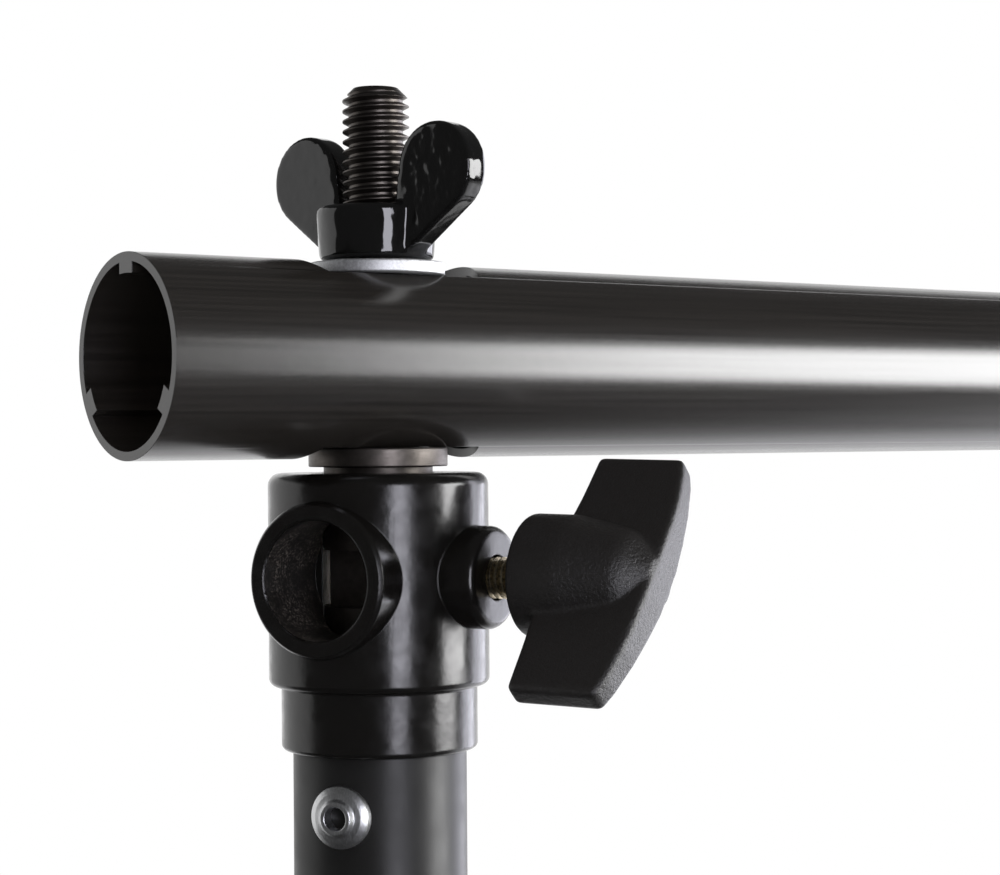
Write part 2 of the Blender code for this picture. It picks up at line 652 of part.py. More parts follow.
def make_slider(parts, tools):
    """The sliding leg collar, with an ear for each leg and a boss for its knob. Z = 0 is at the pivots."""
    bore = BASE_TUBE_DIAMETER / 2 + CLEARANCE
    outer = TUBE_SLEEVE_RADIUS
    profile = [
        (bore, SLIDER_ABOVE_PIVOT, 0),
        (outer, SLIDER_ABOVE_PIVOT, COLLAR_EDGE_RADIUS),
        (outer, -SLIDER_BELOW_PIVOT, COLLAR_EDGE_RADIUS),
        (bore, -SLIDER_BELOW_PIVOT, 0),
    ]
    slider = turned("leg_collar", profile, ROUND_SEGMENTS, True, parts)
    start = (bore + math.sqrt(outer ** 2 - BRACE_WIDTH ** 2 / 4)) / 2
    half = LEG_WIDTH / 2
    for number, azimuth in enumerate(LEG_AZIMUTHS):
        lug = ear(f"slider_ear_{number}", start, BRACE_WIDTH, 0, tools)
        lug.matrix_world = upright(azimuth, 0, 0)
        join(slider, lug)
        pin = rod(f"slider_pin_{number}", PIVOT_PIN_DIAMETER / 2, -half, half, SMALL_SEGMENTS, tools)
        pin.matrix_world = upright(azimuth, LEG_PIVOT_RADIUS, 0)
        join(slider, pin)
    start = boss_start(bore, outer, COLLAR_BOSS_DIAMETER / 2)
    add_boss(slider, sideways(COLLAR_KNOB_AZIMUTH, 0, SLIDER_KNOB_RISE), COLLAR_BOSS_DIAMETER / 2, start,
             outer + COLLAR_BOSS_LENGTH, 0, SCREW_DIAMETER / 2 + CLEARANCE, 0, COLLAR_BOSS_SEGMENTS, tools)
    finish(slider, GLOSS_BLACK)
    return slider


def channel(name, length, before, width, depth, wall, end_radius, parts, tools):
    """A channel section along local X, from X = -before, open towards local -Y, with round ends."""
    half = depth / 2
    end = length - before
    corners = [(-before, -half, end_radius), (end, -half, end_radius),
               (end, half, end_radius), (-before, half, end_radius)]
    piece = plate(name, [rounded(corners, steps=ARC_STEPS_FINE)], width, parts)
    inside = block(name + "_inside", (-2 * before - depth, -depth, wall - width / 2),
                   (2 * length, half - wall, width / 2 - wall), tools)
    cut(piece, inside)
    return piece


def pivot_hole(name, along, reach, tools):
    """A cutter for a pivot pin's hole, across a channel at a distance along it."""
    hole = rod(name, PIVOT_PIN_DIAMETER / 2 + CLEARANCE, -reach, reach, SMALL_SEGMENTS, tools)
    hole.data.transform(Matrix.Translation((along, 0, 0)))
    return hole


def make_leg(number, parts, tools):
    """A leg, with its origin at its top pivot: local X runs down the leg and local Y out of its back."""
    before = LEG_DEPTH / 2
    leg = channel(f"leg_{number}", LEG_LENGTH + before, before, LEG_WIDTH, LEG_DEPTH, LEG_WALL,
                  before * ROUND_END_SHARE, parts, tools)
    half = LEG_WIDTH / 2 - LEG_WALL / 2
    pin = rod(f"knee_pin_{number}", PIVOT_PIN_DIAMETER / 2, -half, half, SMALL_SEGMENTS, tools)
    pin.data.transform(Matrix.Translation((BRACE_LENGTH, 0, 0)))
    join(leg, pin)
    cut(leg, pivot_hole(f"leg_hole_{number}", 0, LEG_WIDTH, tools))
    finish(leg, SATIN_BLACK)
    return leg


def make_brace(number, parts, tools):
    """A brace, with its origin at the knee: local X runs to its rounded end at the foot hub."""
    before = BRACE_DEPTH / 2
    brace = channel(f"brace_{number}", BRACE_LENGTH + BRACE_DEPTH, before, BRACE_WIDTH, BRACE_DEPTH,
                    LEG_WALL, before * ROUND_END_SHARE, parts, tools)
    cut(brace, pivot_hole(f"brace_hole_{number}", 0, BRACE_WIDTH, tools))
    finish(brace, SATIN_BLACK)
    return brace


def floor_reach(across):
    """How far down the leg from its top pivot the floor lies, on a line this far across from its middle."""
    return (LEG_PIVOT_HEIGHT + across * math.sin(LEG_ANGLE)) / math.cos(LEG_ANGLE)


def make_foot(number, parts, tools):
    """The rubber foot on a leg's end, in the leg's own frame, with its sole flat on the floor."""
    under = -LEG_DEPTH / 2 - FOOT_WALL
    back = LEG_DEPTH / 2 + FOOT_WALL
    sole_end = under + FOOT_SOLE * math.cos(LEG_ANGLE)
    upper = LEG_LENGTH - FOOT_GRIP
    corners = [
        (upper, under, FOOT_EDGE_RADIUS),
        (floor_reach(under), under, FOOT_EDGE_RADIUS),
        (floor_reach(sole_end), sole_end, FOOT_TOE_RADIUS),
        (LEG_LENGTH + 3 * FOOT_WALL, back, FOOT_TOE_RADIUS),
        (upper, back, FOOT_EDGE_RADIUS),
    ]
    foot = plate(f"foot_{number}", [rounded(corners)], FOOT_WIDTH, parts)
    pocket = block(f"foot_pocket_{number}",
                   (upper - FOOT_GRIP, -LEG_DEPTH / 2 - CLEARANCE, -LEG_WIDTH / 2 - CLEARANCE),
                   (LEG_LENGTH + CLEARANCE, LEG_DEPTH / 2 + CLEARANCE, LEG_WIDTH / 2 + CLEARANCE), tools)
    cut(foot, pocket)
    finish(foot, RUBBER)
    return foot


def ring_points(radius, segments):
    return [Vector((radius * math.cos(2 * math.pi * step / segments),
                    radius * math.sin(2 * math.pi * step / segments))) for step in range(segments)]


def ribbed_bore(radius, rib_width, rib_height, steps):
    """The bore of the crossbar's outer section: a circle with a rib at each of three clock places."""
    points = []
    half = math.asin(rib_width / 2 / radius)
    for clock in BAR_RIB_CLOCK:
        along = Vector((math.cos(clock), math.sin(clock)))
        across = Vector((-along.y, along.x))
        foot = radius * math.cos(half)
        tip = radius - rib_height
        points.append(along * foot - across * rib_width / 2)
        points.append(along * tip - across * rib_width / 2)
        points.append(along * tip + across * rib_width / 2)
        points.append(along * foot + across * rib_width / 2)
        gap = 2 * math.pi / len(BAR_RIB_CLOCK) - 2 * half
        for step in range(1, steps):
            angle = clock + half + gap * step / steps
            points.append(Vector((radius * math.cos(angle), radius * math.sin(angle))))
    return points


def make_crossbar_section(parts, tools):
    """The outer section of the crossbar, along X, with its pockets and stud hole at the origin."""
    outlines = [ring_points(BAR_RADIUS, BAR_SEGMENTS),
                ribbed_bore(BAR_RADIUS - BAR_WALL, BAR_RIB_WIDTH, BAR_RIB_HEIGHT, RIB_GAP_STEPS)]
    bar = plate("crossbar_left", outlines, BAR_SECTION_LENGTH, parts)
    middle = BAR_SECTION_LENGTH / 2 - BAR_END_BEYOND_STUD
    bar.data.transform(Matrix.Translation((middle, 0, BAR_AXIS)) @ Matrix.Rotation(QUARTER_TURN, 4, "Z")
                       @ Matrix.Rotation(QUARTER_TURN, 4, "X"))
    over = BAR_AXIS + BAR_DIAMETER
    cut(bar, rod("pocket_top", POCKET_DIAMETER / 2, POCKET_CEILING, over, LARGE_SEGMENTS, tools))
    cut(bar, rod("pocket_bottom", POCKET_DIAMETER / 2, -over, POCKET_FLOOR, LARGE_SEGMENTS, tools))
    cut(bar, rod("stud_hole", STUD_HOLE_DIAMETER / 2, -over, over, ROUND_SEGMENTS, tools))
    finish(bar, SATIN_BLACK)
    return bar


def make_inner_bar(parts):
    half = BAR_INNER_LENGTH / 2
    inner = BAR_INNER_RADIUS - BAR_INNER_WALL
    outer = BAR_INNER_RADIUS
    profile = [(inner, half, 0), (outer, half, 0), (outer, -half, 0), (inner, -half, 0)]
    bar = turned("crossbar_inner", profile, ROUND_SEGMENTS, True, parts)
    place = Matrix.Translation((0, 0, HEAD_HEIGHT + BAR_AXIS))
    bar.matrix_world = place @ Matrix.Rotation(QUARTER_TURN, 4, "Y")
    finish(bar, SATIN_BLACK)
    return bar


def move(piece, frame):
    """Put a piece and every tool that shapes it at a frame."""
    for modifier in piece.modifiers:
        if modifier.type == "BOOLEAN":
            move(modifier.object, frame)
    piece.matrix_world = frame @ piece.matrix_basis


def hang(piece, carrier):
    """Parent a piece to its carrier and keep it where it is."""
    bpy.context.view_layer.update()
    piece.parent = carrier
    piece.matrix_parent_inverse = carrier.matrix_world.inverted()


def carrier(name, location, parent, collection):
    """An empty on a joint's axis, for the pieces that move together."""
    empty = add_object(name, None, collection)
    empty.empty_display_size = 20 * MM
    empty.location = location
    if parent:
        hang(empty, parent)
    bpy.context.view_layer.update()
    return empty


def build_stand_a(parts, tools):
    """Model stand A about its own axis and move it to its place. Returns pieces with carrier names."""
    axis = Matrix.Translation((-STUD_X, 0, 0))
    head = Matrix.Translation((0, 0, HEAD_HEIGHT))
    placed = []

    def put(piece, frame, body):
        move(piece, axis @ frame)
        placed.append((piece, body))

    put(make_spigot(parts, tools), head, "top")
    put(make_washer(parts), head, "bar")
    put(make_wing_nut(parts, tools), head, "top")
    put(make_head_casting(parts, tools), head, "top")
    knob_frame = head @ sideways(BOSS_AZIMUTH, BOSS_REACH + KNOB_STANDOFF, -SIDE_AXIS_DEPTH, KNOB_HEAD_ROLL)
    put(make_knob("head_knob", 0, parts, tools), knob_frame, "top")
    put(make_lock_screw(parts), head @ sideways(BOSS_AZIMUTH, 0, -SIDE_AXIS_DEPTH), "top")

    top_tube = make_tube("top_tube", TOP_TUBE_DIAMETER, TOP_TUBE_TOP - TOP_TUBE_LENGTH - HEAD_HEIGHT,
                         TOP_TUBE_TOP - HEAD_HEIGHT, parts)
    rivet_frame = sideways(RIVET_AZIMUTH, 0, -RIVET_DEPTH)
    rivet_hole = rod("rivet_hole", RIVET_SHANK / 2 + CLEARANCE, 0, TOP_TUBE_DIAMETER, SMALL_SEGMENTS, tools)
    rivet_hole.matrix_world = rivet_frame
    cut(top_tube, rivet_hole)
    put(top_tube, head, "top")
    put(make_rivet(parts, tools), head @ rivet_frame, "top")

    joints = (("upper", MID_TUBE_TOP, MID_TUBE_DIAMETER, TOP_TUBE_DIAMETER, "mid"),
              ("lower", BASE_TUBE_TOP, BASE_TUBE_DIAMETER, MID_TUBE_DIAMETER, "base"))
    for name, height, outer_tube, inner_tube, body in joints:
        seat = Matrix.Translation((0, 0, height))
        put(make_collar(name + "_collar", outer_tube, inner_tube, COLLAR_SKIRT, COLLAR_NECK,
                        COLLAR_KNOB_AZIMUTH, parts, tools), seat, body)
        knob = make_knob(name + "_collar_knob", collar_knob_stub(inner_tube), parts, tools)
        reach = collar_boss_reach(inner_tube) + KNOB_STANDOFF
        rise = collar_knob_height(COLLAR_NECK)
        put(knob, seat @ sideways(COLLAR_KNOB_AZIMUTH, reach, rise, KNOB_COLLAR_ROLL), body)

    put(make_tube("mid_tube", MID_TUBE_DIAMETER, -MID_TUBE_LENGTH, 0, parts),
        Matrix.Translation((0, 0, MID_TUBE_TOP)), "mid")
    put(make_tube("base_tube", BASE_TUBE_DIAMETER, BASE_TUBE_FOOT, BASE_TUBE_TOP, parts), Matrix(), "base")
    put(make_foot_hub(parts, tools), Matrix.Translation((0, 0, HUB_PIVOT_HEIGHT)), "base")
    put(make_slider(parts, tools), Matrix.Translation((0, 0, LEG_PIVOT_HEIGHT)), "slider")
    slider_reach = TUBE_SLEEVE_RADIUS + COLLAR_BOSS_LENGTH + KNOB_STANDOFF
    slider_stub = slider_reach - BASE_TUBE_DIAMETER / 2 - CLEARANCE
    rise = LEG_PIVOT_HEIGHT + SLIDER_KNOB_RISE
    put(make_knob("leg_collar_knob", slider_stub, parts, tools),
        sideways(COLLAR_KNOB_AZIMUTH, slider_reach, rise, KNOB_COLLAR_ROLL), "slider")

    for number, azimuth in enumerate(LEG_AZIMUTHS, 1):
        brace_frame = upright(azimuth, KNEE_RADIUS, KNEE_HEIGHT, -QUARTER_TURN - LEG_ANGLE)
        leg_frame = upright(azimuth, LEG_PIVOT_RADIUS, LEG_PIVOT_HEIGHT, LEG_ANGLE - QUARTER_TURN)
        put(make_brace(number, parts, tools), brace_frame, f"brace_{number}")
        put(make_leg(number, parts, tools), leg_frame, f"leg_{number}")
        put(make_foot(number, parts, tools), leg_frame, f"leg_{number}")
    return placed


def build_crossbar_half(parts, tools):
    """The left outer section with its clamp collar and knob, on stand A's stud."""
    stud = Matrix.Translation((-STUD_X, 0, HEAD_HEIGHT))
    section = make_crossbar_section(parts, tools)
    move(section, stud)
    end = BAR_SECTION_LENGTH - BAR_END_BEYOND_STUD
    seat = stud @ Matrix.Translation((end, 0, BAR_AXIS)) @ Matrix.Rotation(QUARTER_TURN, 4, "Y")
    inner = 2 * BAR_INNER_RADIUS
    collar = make_collar("crossbar_left_collar", BAR_DIAMETER, inner, BAR_COLLAR_SKIRT, BAR_COLLAR_NECK, 0,
                         parts, tools)
    move(collar, seat)
    knob = make_knob("crossbar_left_knob", collar_knob_stub(inner), parts, tools)
    reach = collar_boss_reach(inner) + KNOB_STANDOFF
    move(knob, seat @ sideways(0, reach, collar_knob_height(BAR_COLLAR_NECK), KNOB_COLLAR_ROLL))
    return [(section, "bar"), (collar, "bar"), (knob, "bar")]


def copy_turned(piece, name, parts):
    """The same piece on the other half, turned half a turn about Z."""
    evaluated = piece.evaluated_get(bpy.context.evaluated_depsgraph_get())
    mesh = bpy.data.meshes.new_from_object(evaluated)
    copy = add_object(name, mesh, parts)
    copy.matrix_world = Matrix.Rotation(math.pi, 4, "Z") @ piece.matrix_world
    look = piece.data.materials[0].node_tree.nodes["Principled BSDF"].inputs
    finish(copy, (look["Base Color"].default_value[0], look["Roughness"].default_value,
                  look["Metallic"].default_value))
    return copy


def build_carriers(letter, turn, parent_of, parts):
    """The empties of one stand, from the names of their parents."""
    places = {
        "base": (-STUD_X, 0, 0),
        "mid": (-STUD_X, 0, MID_TUBE_TOP),
        "top": (-STUD_X, 0, HEAD_HEIGHT),
        "slider": (-STUD_X, 0, LEG_PIVOT_HEIGHT),
    }
    for number, azimuth in enumerate(LEG_AZIMUTHS, 1):
        out = Vector((math.cos(azimuth), math.sin(azimuth), 0))
        foot = Vector((-STUD_X, 0, 0))
        places[f"leg_{number}"] = foot + out * LEG_PIVOT_RADIUS + Vector((0, 0, LEG_PIVOT_HEIGHT))
        places[f"brace_{number}"] = foot + out * KNEE_RADIUS + Vector((0, 0, KNEE_HEIGHT))
    made = {}
    for name, parent in parent_of:
        spot = turn @ Vector(places[name])
        made[name] = carrier(f"{name}_joint_{letter}", spot, made.get(parent, parent), parts)
    return made


def main():
    clear_scene()
    parts = new_collection("backdrop_stand")
    tools = new_collection("cutters")
    stand = build_stand_a(parts, tools)
    half_bar = build_crossbar_half(parts, tools)
    inner_bar = make_inner_bar(parts)
    bpy.context.view_layer.update()

    half_turn = Matrix.Rotation(math.pi, 4, "Z")
    feet = [("slider", "base")]
    for number in range(1, len(LEG_AZIMUTHS) + 1):
        feet += [(f"leg_{number}", "slider"), (f"brace_{number}", f"leg_{number}")]
    order_a = [("base", None), ("mid", "base"), ("top", "mid")] + feet
    carriers_a = build_carriers("a", Matrix(), order_a, parts)
    stud = Vector((-STUD_X, 0, HEAD_HEIGHT + BAR_AXIS))
    bar_left = carrier("bar_left_joint", stud, carriers_a["top"], parts)
    bar_inner = carrier("bar_inner_joint", Vector((0, 0, HEAD_HEIGHT + BAR_AXIS)), bar_left, parts)
    bar_right = carrier("bar_right_joint", half_turn @ stud, bar_inner, parts)
    order_b = [("top", bar_right), ("mid", "top"), ("base", "mid")] + feet
    carriers_b = build_carriers("b", half_turn, order_b, parts)
    carriers_a["bar"] = bar_left
    carriers_b["bar"] = bar_right

    for piece, body in stand + half_bar:
        if "crossbar" in piece.name:
            name = piece.name.replace("left", "right")
        else:
            name = piece.name + "_b"
        copy = copy_turned(piece, name, parts)
        if "crossbar" not in piece.name:
            piece.name += "_a"
        hang(piece, carriers_a[body])
        hang(copy, carriers_b[body])
    hang(inner_bar, bar_inner)


main()
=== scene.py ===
"""The looks of a backdrop stand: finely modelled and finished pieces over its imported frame.

Metres, +Z up. Stand A is at -X and is modelled piece by piece. Stand B is its copy, turned half a turn
about Z.
"""

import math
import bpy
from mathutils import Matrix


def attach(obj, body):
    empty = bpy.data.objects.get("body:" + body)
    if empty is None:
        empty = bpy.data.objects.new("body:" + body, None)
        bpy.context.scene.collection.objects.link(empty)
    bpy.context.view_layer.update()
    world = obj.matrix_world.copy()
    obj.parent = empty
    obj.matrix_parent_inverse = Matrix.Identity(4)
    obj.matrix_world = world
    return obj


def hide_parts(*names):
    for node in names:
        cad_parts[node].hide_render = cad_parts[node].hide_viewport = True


bl_info = {
    "name": "Backdrop Stand",
    "version": (1, 0, 0),
    "blender": (4, 5, 0),
    "location": "View3D > Sidebar > Backdrop Stand",
    "description": "Models and finishes the pieces of a backdrop stand with a telescoping crossbar",
    "category": "Object",
}

from contextlib import contextmanager

import bmesh
import bpy
from bpy.props import FloatProperty, FloatVectorProperty, PointerProperty
from mathutils import Matrix, Vector

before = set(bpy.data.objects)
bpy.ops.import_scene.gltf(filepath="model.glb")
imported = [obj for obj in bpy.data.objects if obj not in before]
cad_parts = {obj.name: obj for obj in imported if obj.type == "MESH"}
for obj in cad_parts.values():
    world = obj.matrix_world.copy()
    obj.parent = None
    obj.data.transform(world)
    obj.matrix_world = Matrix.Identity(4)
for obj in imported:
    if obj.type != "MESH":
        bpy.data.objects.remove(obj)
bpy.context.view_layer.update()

MM = 0.001
DEG = math.pi / 180
QUARTER_TURN = 90 * DEG

# Places that the frame's solids share
STUD_X = 650 * MM
HEAD_HEIGHT = 1223 * MM
MID_TUBE_TOP = 1008 * MM
BASE_TUBE_TOP = 760 * MM
BASE_TUBE_FOOT = 34.3 * MM
TUBE_LENGTH = 680 * MM
HUB_PIVOT_HEIGHT = 44 * MM
LEG_PIVOT_HEIGHT = 274 * MM
LEG_PIVOT_RADIUS = 31 * MM
LEG_ANGLE = 60 * DEG
LEG_LENGTH = 513 * MM
BRACE_LENGTH = 230 * MM
LEG_AZIMUTHS = (180 * DEG, 60 * DEG, -60 * DEG)
SOCKET_AZIMUTH = -155.3 * DEG
BOSS_AZIMUTH = -65.3 * DEG
WING_AZIMUTH = -78.7 * DEG
WAIST_AZIMUTH = -164.6 * DEG
RIVET_AZIMUTH = -150 * DEG
COLLAR_KNOB_AZIMUTH = -120 * DEG
KNOB_HEAD_ROLL = -41.2 * DEG
KNOB_COLLAR_ROLL = 90 * DEG
BAR_AXIS = 16.4 * MM
BAR_LENGTH = 600 * MM
BAR_OVERHANG = 41 * MM
BAR_COLLAR_SEAT = 559 * MM
BAR_INNER_RADIUS = 11.1 * MM
BAR_INNER_BORE = 9.9 * MM
BAR_INNER_HALF = 500 * MM
BAR_RIB_CLOCK = (90 * DEG, 210 * DEG, 330 * DEG)

# Clearances and fineness
CLEARANCE = 0.3 * MM
MERGE = 0.002 * MM
SMOOTH_ANGLE = 32 * DEG
ROUND = 128
ROUND_SMALL = 64
ARC = 6


def colour(hex_text):
    """Linear red, green and blue from an sRGB hex value."""
    parts = [int(hex_text[start:start + 2], 16) / 255 for start in (0, 2, 4)]
    return tuple(part / 12.92 if part <= 0.04045 else ((part + 0.055) / 1.055) ** 2.4 for part in parts)


def size(name, description, mm):
    """A size that the user can change."""
    return FloatProperty(name=name, description=description, default=mm * MM, unit="LENGTH")


def tone(name, description, hex_text):
    """A colour that the user can change."""
    return FloatVectorProperty(name=name, description=description, default=colour(hex_text), subtype="COLOR",
                               size=3, min=0, max=1)


class StandSizes(bpy.types.PropertyGroup):
    """The sizes of the stand's finely modelled pieces."""

    casting_diameter: size("Head diameter", "Across the head casting", 32.3)
    casting_depth: size("Head depth", "Height of the head casting's body", 31)
    sleeve_diameter: size("Sleeve diameter", "Across the casting's lower sleeve", 28.7)
    sleeve_depth: size("Sleeve depth", "From the head's top to the sleeve's end", 40.3)
    side_depth: size("Side axis depth", "From the head's top to the socket's axis", 15)
    socket_diameter: size("Socket diameter", "Across the side socket", 22.2)
    socket_bore: size("Socket bore", "The side socket's hole", 17)
    socket_reach: size("Socket reach", "From the column's axis to the socket's face", 17.3)
    boss_diameter: size("Boss diameter", "Across the lock screw's boss", 14.8)
    boss_reach: size("Boss reach", "From the column's axis to the boss's face", 19.8)
    pin_diameter: size("Pin diameter", "The spigot's pin in the head", 16)
    flange_diameter: size("Flange diameter", "The spigot's flange under the bar", 20.4)
    stud_diameter: size("Stud diameter", "Over the stud's thread", 9.8)
    stud_pitch: size("Stud pitch", "From one thread to the next", 1.5)
    screw_diameter: size("Screw diameter", "Over the lock screw's thread", 6)
    washer_diameter: size("Washer diameter", "Across the washer under the wing nut", 20)
    wing_span: size("Wing span", "Across the wing nut's wings", 39.4)
    knob_span: size("Knob span", "Across a T-knob's blades", 41.3)
    bar_diameter: size("Bar diameter", "The crossbar's outer sections", 28.6)
    bar_wall: size("Bar wall", "The outer sections' wall", 1.3)
    top_tube_diameter: size("Top tube", "The column's top tube", 25.4)
    mid_tube_diameter: size("Middle tube", "The column's middle tube", 30)
    base_tube_diameter: size("Base tube", "The column's base tube", 35)
    leg_width: size("Leg width", "Across a leg's channel", 22)
    brace_width: size("Brace width", "Across a brace's channel", 12)


class StandColours(bpy.types.PropertyGroup):
    """The base colours of the stand's finishes."""

    enamel: tone("Enamel", "Gloss black on the castings", "0b0a09")
    dip_coat: tone("Dip coat", "Thick gloss black on the wing nuts", "0b0b0b")
    anodising: tone("Anodising", "Satin black on the crossbar", "1a1816")
    tube_paint: tone("Tube paint", "Satin black on the tubes and legs", "131313")
    plastic: tone("Plastic", "The knobs' moulded black", "131110")
    rubber: tone("Rubber", "The feet", "121212")
    oxide: tone("Black oxide", "The stud's blackened steel", "625d59")
    zinc: tone("Zinc", "The washers' bright plating", "f0f1f2")
    brass_zinc: tone("Yellow zinc", "The lock screws' plating", "dccfb2")
    aluminium: tone("Aluminium", "The tube rivets", "e8e9ea")


# Frames that pieces are put in


def shift(x=0, y=0, z=0):
    return Matrix.Translation((x, y, z))


def spin(angle, axis):
    return Matrix.Rotation(angle, 4, axis)


def sideways(azimuth, distance, height, roll=0):
    """A frame whose Z points out from the column's axis at an azimuth, with X down and Y across."""
    turn = spin(azimuth, "Z") @ spin(QUARTER_TURN, "Y")
    return shift(distance * math.cos(azimuth), distance * math.sin(azimuth), height) @ turn @ spin(roll, "Z")


def upright(azimuth, distance=0, height=0, tilt=0):
    """A frame whose X points out and Y up, tilted in that plane, with Z across it."""
    turn = spin(azimuth, "Z") @ spin(QUARTER_TURN, "X")
    return shift(distance * math.cos(azimuth), distance * math.sin(azimuth), height) @ turn @ spin(tilt, "Z")


def on_stand(height):
    """The frame of stand A's axis at a height."""
    return shift(-STUD_X, 0, height)


STAND_A = on_stand(0)
HEAD_A = on_stand(HEAD_HEIGHT)
HALF_TURN = spin(math.pi, "Z")


# Handwork: the steps that every piece is made with


def deselect():
    if bpy.context.object and bpy.context.object.mode != "OBJECT":
        bpy.ops.object.mode_set(mode="OBJECT")
    bpy.ops.object.select_all(action="DESELECT")


def take(piece):
    """Make a piece the only selected one."""
    deselect()
    piece.select_set(True)
    bpy.context.view_layer.objects.active = piece


@contextmanager
def editing(piece, kind="VERT"):
    """Have a piece in edit mode, all of it selected, for the steps of a with block."""
    take(piece)
    bpy.ops.object.mode_set(mode="EDIT")
    bpy.ops.mesh.select_mode(type=kind)
    bpy.ops.mesh.select_all(action="SELECT")
    yield
    bpy.ops.object.mode_set(mode="OBJECT")


def pick(piece, kind, test):
    """Select the vertices, edges or faces of a piece in edit mode that pass a test."""
    bpy.ops.mesh.select_mode(type=kind)
    bpy.ops.mesh.select_all(action="DESELECT")
    mesh = bmesh.from_edit_mesh(piece.data)
    for element in {"VERT": mesh.verts, "EDGE": mesh.edges, "FACE": mesh.faces}[kind]:
        if test(element):
            element.select_set(True)
    mesh.select_flush_mode()
    bmesh.update_edit_mesh(piece.data)


def shape(piece, kind, **settings):
    """Add a modifier to a piece and apply it."""
    modifier = piece.modifiers.new(kind.title(), kind)
    for key, value in settings.items():
        setattr(modifier, key, value)
    take(piece)
    bpy.ops.object.modifier_apply(modifier=modifier.name)


def combine(piece, tool, operation):
    """Join, cut or trim a piece with a tool, which is used up."""
    shape(piece, "BOOLEAN", operation=operation, solver="EXACT", object=tool)
    bpy.data.objects.remove(tool, do_unlink=True)


def cut(piece, tool):
    combine(piece, tool, "DIFFERENCE")


def unite(piece, tool):
    combine(piece, tool, "UNION")


def bevel(piece, width, segments, angle):
    """Round the edges that are sharper than an angle."""
    shape(piece, "BEVEL", width=width, segments=segments, limit_method="ANGLE", angle_limit=angle)


def place(piece, where):
    """Put a piece at a frame, with its place in its mesh."""
    piece.matrix_world = where @ piece.matrix_world
    take(piece)
    bpy.ops.object.transform_apply(location=True, rotation=True, scale=True)
    return piece


def copied(piece):
    """A copy of a piece, with a mesh of its own."""
    take(piece)
    bpy.ops.object.duplicate()
    return bpy.context.object


def gather(*pieces):
    """Make one piece of several, without joining their walls."""
    deselect()
    for piece in pieces:
        piece.select_set(True)
    bpy.context.view_layer.objects.active = pieces[0]
    bpy.ops.object.join()
    return pieces[0]


def turn_outwards(piece):
    """Merge doubled points and point the faces outwards."""
    with editing(piece):
        bpy.ops.mesh.remove_doubles(threshold=MERGE)
        bpy.ops.mesh.normals_make_consistent(inside=False)
    return piece


def rounded(corners, closed, steps):
    """Points of a path through corners (x, y, radius), with an arc of that radius at each."""
    count = len(corners)
    points = []
    for index, (x, y, radius) in enumerate(corners):
        here = Vector((x, y))
        at_end = not closed and index in (0, count - 1)
        if radius == 0 or at_end:
            points.append(here)
            continue
        before = (Vector(corners[index - 1][:2]) - here).normalized()
        after = (Vector(corners[(index + 1) % count][:2]) - here).normalized()
        half = before.angle(after) / 2
        centre = here + (before + after).normalized() * radius / math.sin(half)
        start = here + before * radius / math.tan(half) - centre
        stop = here + after * radius / math.tan(half) - centre
        sweep = math.atan2(start.x * stop.y - start.y * stop.x, start.dot(stop))
        for step in range(steps + 1):
            points.append(centre + Matrix.Rotation(sweep * step / steps, 2) @ start)
    return points


def turned(corners, segments=ROUND, closed=False, steps=ARC):
    """A piece turned about Z: a ring, extruded and scaled from point to point of a profile, which is given
    by its corners (radius, z, corner radius)."""
    points = rounded(corners, closed, steps)
    cap_start = points[0].x == 0
    cap_end = points[-1].x == 0
    if cap_start:
        points.pop(0)
    if cap_end:
        points.pop()
    if closed:
        points.append(points[0])
    deselect()
    radius, height = points[0]
    bpy.ops.mesh.primitive_circle_add(vertices=segments, radius=radius, location=(0, 0, height))
    piece = bpy.context.object
    with editing(piece, "EDGE"):
        for before, after in zip(points, points[1:]):
            bpy.ops.mesh.extrude_edges_move(TRANSFORM_OT_translate={"value": (0, 0, after.y - before.y)})
            scale = after.x / before.x
            bpy.ops.transform.resize(value=(scale, scale, 1), center_override=(0, 0, after.y))
        if cap_end:
            bpy.ops.mesh.edge_face_add()
        if cap_start:
            pick(piece, "EDGE", lambda edge: edge.index in range(segments))
            bpy.ops.mesh.edge_face_add()
    return turn_outwards(place(piece, Matrix()))


def ring(bore, outer, low, high, edges, steps=ARC):
    """A turned ring or tube. Its edges are rounded by so many millimetres: inside and outside above, outside
    and inside below."""
    corners = ((bore, high), (outer, high), (outer, low), (bore, low))
    return turned([(*corner, edge * MM) for corner, edge in zip(corners, edges)], closed=True, steps=steps)


def rod(radius, low, high, segments=ROUND_SMALL):
    """A plain round cutter along Z."""
    deselect()
    bpy.ops.mesh.primitive_cylinder_add(vertices=segments, radius=radius, depth=high - low,
                                        location=(0, 0, (low + high) / 2))
    return place(bpy.context.object, Matrix())


def block(low, high):
    """A plain cutter between two corners."""
    deselect()
    low, high = Vector(low), Vector(high)
    bpy.ops.mesh.primitive_cube_add(size=1, location=(low + high) / 2, scale=high - low)
    return place(bpy.context.object, Matrix())


def lofted(sections):
    """A bar along X, extruded and scaled through its sections, each given by x, the middle and half depth in
    Y, and the middle and half height in Z."""
    deselect()
    x, y, depth, z, height = sections[0]
    bpy.ops.mesh.primitive_plane_add(size=2, rotation=(0, QUARTER_TURN, 0))
    piece = place(bpy.context.object, shift(x, y, z) @ Matrix.Diagonal((1, depth, height, 1)))
    with editing(piece, "FACE"):
        for before, after in zip(sections, sections[1:]):
            step = (after[0] - before[0], after[1] - before[1], after[3] - before[3])
            bpy.ops.mesh.extrude_region_move(TRANSFORM_OT_translate={"value": step})
            bpy.ops.transform.resize(value=(1, after[2] / before[2], after[4] / before[4]),
                                     center_override=(after[0], after[1], after[3]))
    return turn_outwards(place(piece, Matrix()))


